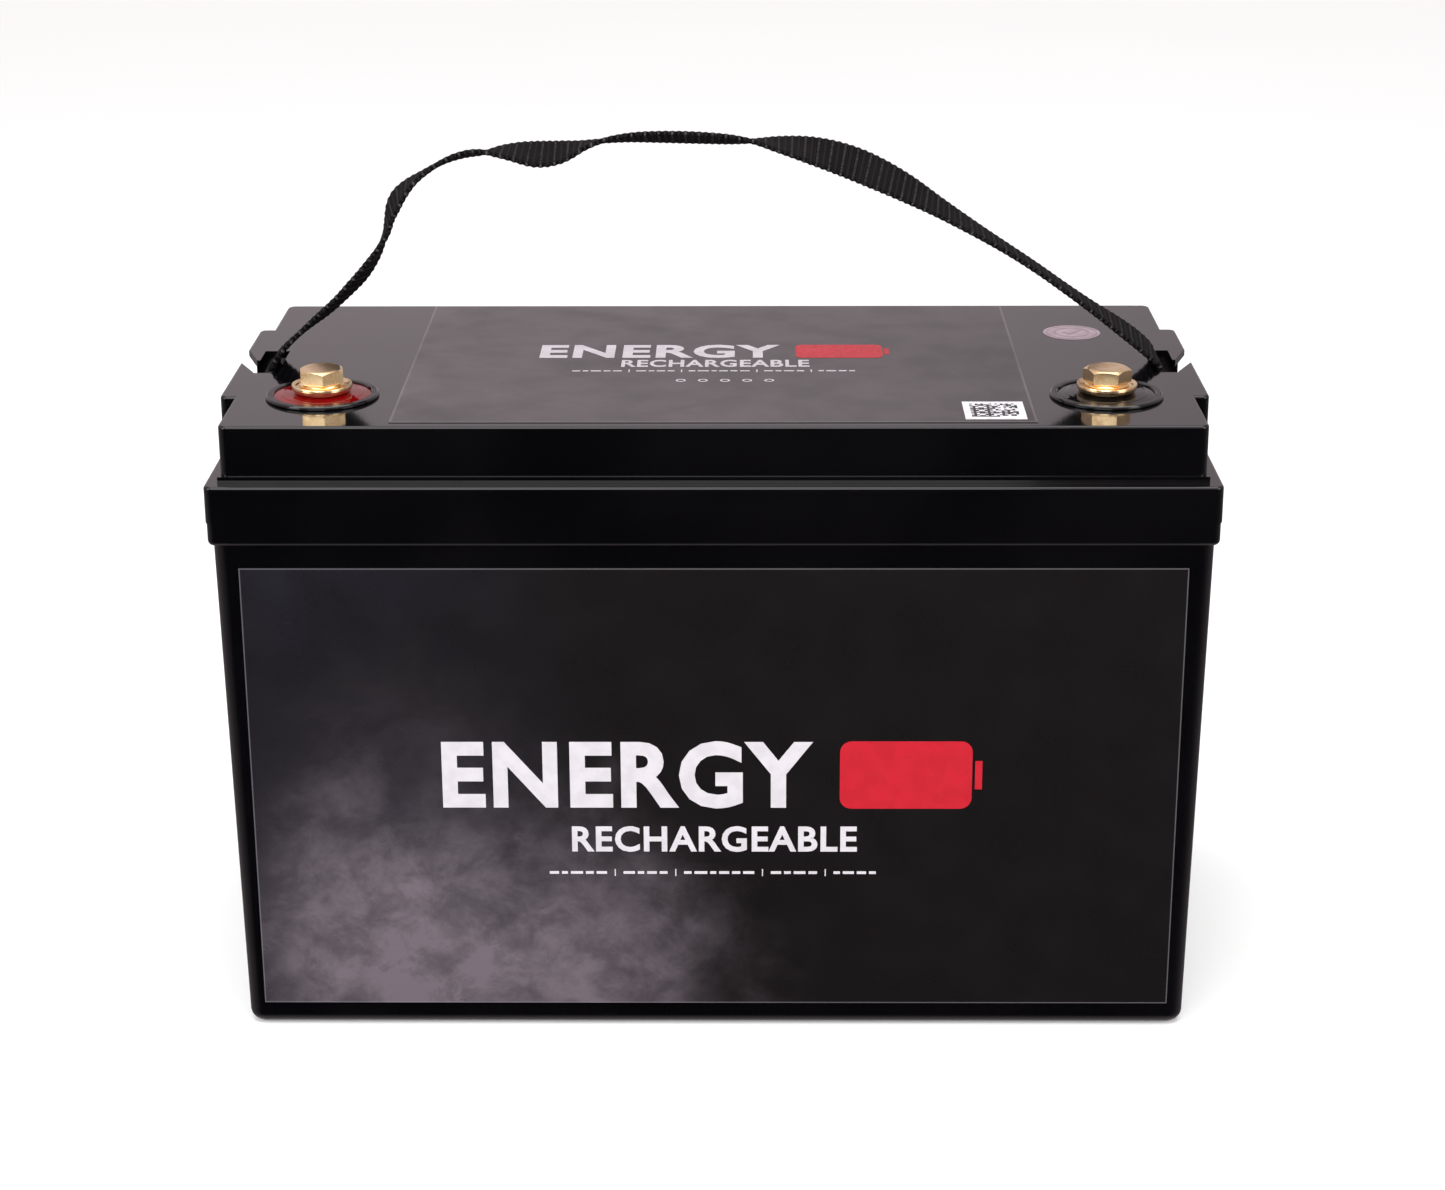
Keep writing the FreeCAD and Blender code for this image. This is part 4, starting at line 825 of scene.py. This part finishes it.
def make_strap(material):
    """The strap in two halves that meet at the top of the arch."""
    step = 0.5 * MM
    line = evenly(strap_line(), step)
    travelled = [index * step for index in range(len(line))]
    split = min(range(len(line)), key=lambda index: (abs(line[index].x - STRAP_SPLIT), index))
    halves = (("strap_left", slice(0, split + 1), -1, LEFT_BEND_TO, ("carry_strap", "strap_end_left")),
              ("strap_right", slice(split, None), 1, RIGHT_BEND_TO, ("strap_end_right",)))
    for name, part, end, free, replaced in halves:
        piece = mesh_piece(name, lambda shape: webbing_mesh(shape, line[part], travelled[part]), material,
                           body=None, smooth=60)
        bending = (point for point in line[part] if point.z > STRAP_BEND_FROM)
        foot = min(bending, key=lambda point: -end * point.x)
        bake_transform(piece)
        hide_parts(*replaced)
    print("webbing length, m:", round(travelled[-1], 4))


# ---------------------------------------------------------------- studio
def make_floor():
    """A wide round floor of pale paper that glows a little, more in the distance."""
    pale, shade = (0.83, 0.87, 0.855), (0.82, 0.86, 0.845)
    floor_radius, drop = 14, 0.0002
    shader = Shader("floor_paper", pale, 0.9, Specular_IOR_Level=0.0,
                    Emission_Color=(1, 1, 1, 1), Emission_Strength=0.14)
    tone(shader, pale, shade, 0.5)
    east, north, _ = shader.axes()
    away = shader.maths("SQRT", shader.maths("ADD", shader.maths("MULTIPLY", east, east),
                                             shader.maths("MULTIPLY", north, north)))
    glow = shader.mix(shader.spread(away, 0.6, 3.0), (1.0, 1.0, 1.0), (2.2, 2.3, 2.25))
    shader.link(glow, shader.shader.inputs["Emission Color"])
    shape = bmesh.new()
    bmesh.ops.create_circle(shape, cap_ends=True, segments=96, radius=floor_radius)
    mesh = bpy.data.meshes.new("floor")
    shape.to_mesh(mesh)
    shape.free()
    mesh.materials.append(shader.material)
    floor = bpy.data.objects.new("floor", mesh)
    bpy.context.collection.objects.link(floor)
    floor.location.z = -drop
    floor.visible_glossy = False


def make_sky():
    """A white tent: bright above the floor; below it dark in front, dim at the sides, lighter at the left."""
    world = bpy.data.worlds.new("studio")
    bpy.context.scene.world = world
    world.use_nodes = True
    tree = world.node_tree
    links = tree.links
    background = tree.nodes["Background"]
    split = tree.nodes.new("ShaderNodeSeparateXYZ")
    links.new(tree.nodes.new("ShaderNodeTexCoord").outputs["Generated"], split.inputs[0])

    def ramp(source, low, high, bottom, top):
        item = tree.nodes.new("ShaderNodeMapRange")
        item.interpolation_type = "SMOOTHSTEP"
        links.new(source, item.inputs["Value"])
        for key, value in (("From Min", low), ("From Max", high), ("To Min", bottom), ("To Max", top)):
            item.inputs[key].default_value = value
        return item.outputs["Result"]

    above = ramp(split.outputs["Z"], -0.06, 0.04, 0.0, 1.0)
    beside = ramp(split.outputs["Y"], -0.85, 0.3, 0.008, 0.22)
    under = ramp(split.outputs["Z"], -0.6, -0.95, 0.0, 0.4)
    leftward = ramp(split.outputs["X"], -0.55, -0.85, 0.0, 0.12)
    below = tree.nodes.new("ShaderNodeMath")
    links.new(beside, below.inputs[0])
    links.new(under, below.inputs[1])
    lower = tree.nodes.new("ShaderNodeMath")
    links.new(below.outputs[0], lower.inputs[0])
    links.new(leftward, lower.inputs[1])
    blend = tree.nodes.new("ShaderNodeMix")
    links.new(above, blend.inputs[0])
    links.new(lower.outputs[0], blend.inputs[2])
    links.new(ramp(split.outputs["X"], 0.02, 0.16, 0.68, 0.56), blend.inputs[3])
    background.inputs["Color"].default_value = (1.0, 0.87, 0.91, 1)
    links.new(blend.outputs[0], background.inputs["Strength"])


def softbox(name, place, aim, width, height, power):
    """A rectangular area light at place that faces aim."""
    light = bpy.data.lights.new(name, "AREA")
    light.shape = "RECTANGLE"
    light.size = width
    light.size_y = height
    light.energy = power
    item = bpy.data.objects.new(name, light)
    bpy.context.collection.objects.link(item)
    item.location = place
    item.rotation_euler = (Vector(aim) - Vector(place)).to_track_quat("-Z", "Y").to_euler()


def make_camera():
    """The main view: about a metre in front, a little above the lid, nearly square to the front."""
    looks_down = 19.34
    data = bpy.data.cameras.new("camera")
    data.sensor_width = 36
    data.lens = 75.2
    item = bpy.data.objects.new("camera", data)
    bpy.context.collection.objects.link(item)
    item.location = (0.0126, -1.01545, 0.48453)
    pitch, yaw, roll = math.radians(90 - looks_down), math.radians(0.59), math.radians(-0.2)
    item.matrix_world = (Matrix.Translation(item.location) @ Matrix.Rotation(yaw, 4, "Z")
                         @ Matrix.Rotation(pitch, 4, "X") @ Matrix.Rotation(roll, 4, "Z"))
    bpy.context.scene.camera = item


def make_studio():
    """Floor, sky, four softboxes and the camera."""
    make_floor()
    make_sky()
    softbox("softbox_left", (-1.3, -0.9, 0.62), (0, 0, 0.15), 0.7, 1.2, 9)
    softbox("softbox_right", (1.3, -0.9, 0.62), (0, 0, 0.15), 0.7, 1.2, 8)
    softbox("softbox_front", (-0.35, -2.2, 1.15), (0, 0, 0.2), 1.4, 0.8, 14)
    softbox("softbox_top", (0, -0.3, 2.0), (0, 0, 0.1), 2.2, 2.2, 40)
    make_camera()
    bpy.context.scene.view_settings.view_transform = "Standard"


# ---------------------------------------------------------------- build
materials = make_materials()
dress_nodes(materials)
white_ink = ink("white_ink", (0.56, 0.54, 0.57))
red_ink = ink("red_ink", (0.46, 0.006, 0.018))
print_front_label(white_ink, red_ink)
print_top_label(white_ink, red_ink)
print_data_sticker(ink("black_ink", (0.02, 0.02, 0.022)))
print_check_sticker(ink("grey_ink", (0.22, 0.17, 0.19)))
make_strap(materials["webbing"])
make_studio()
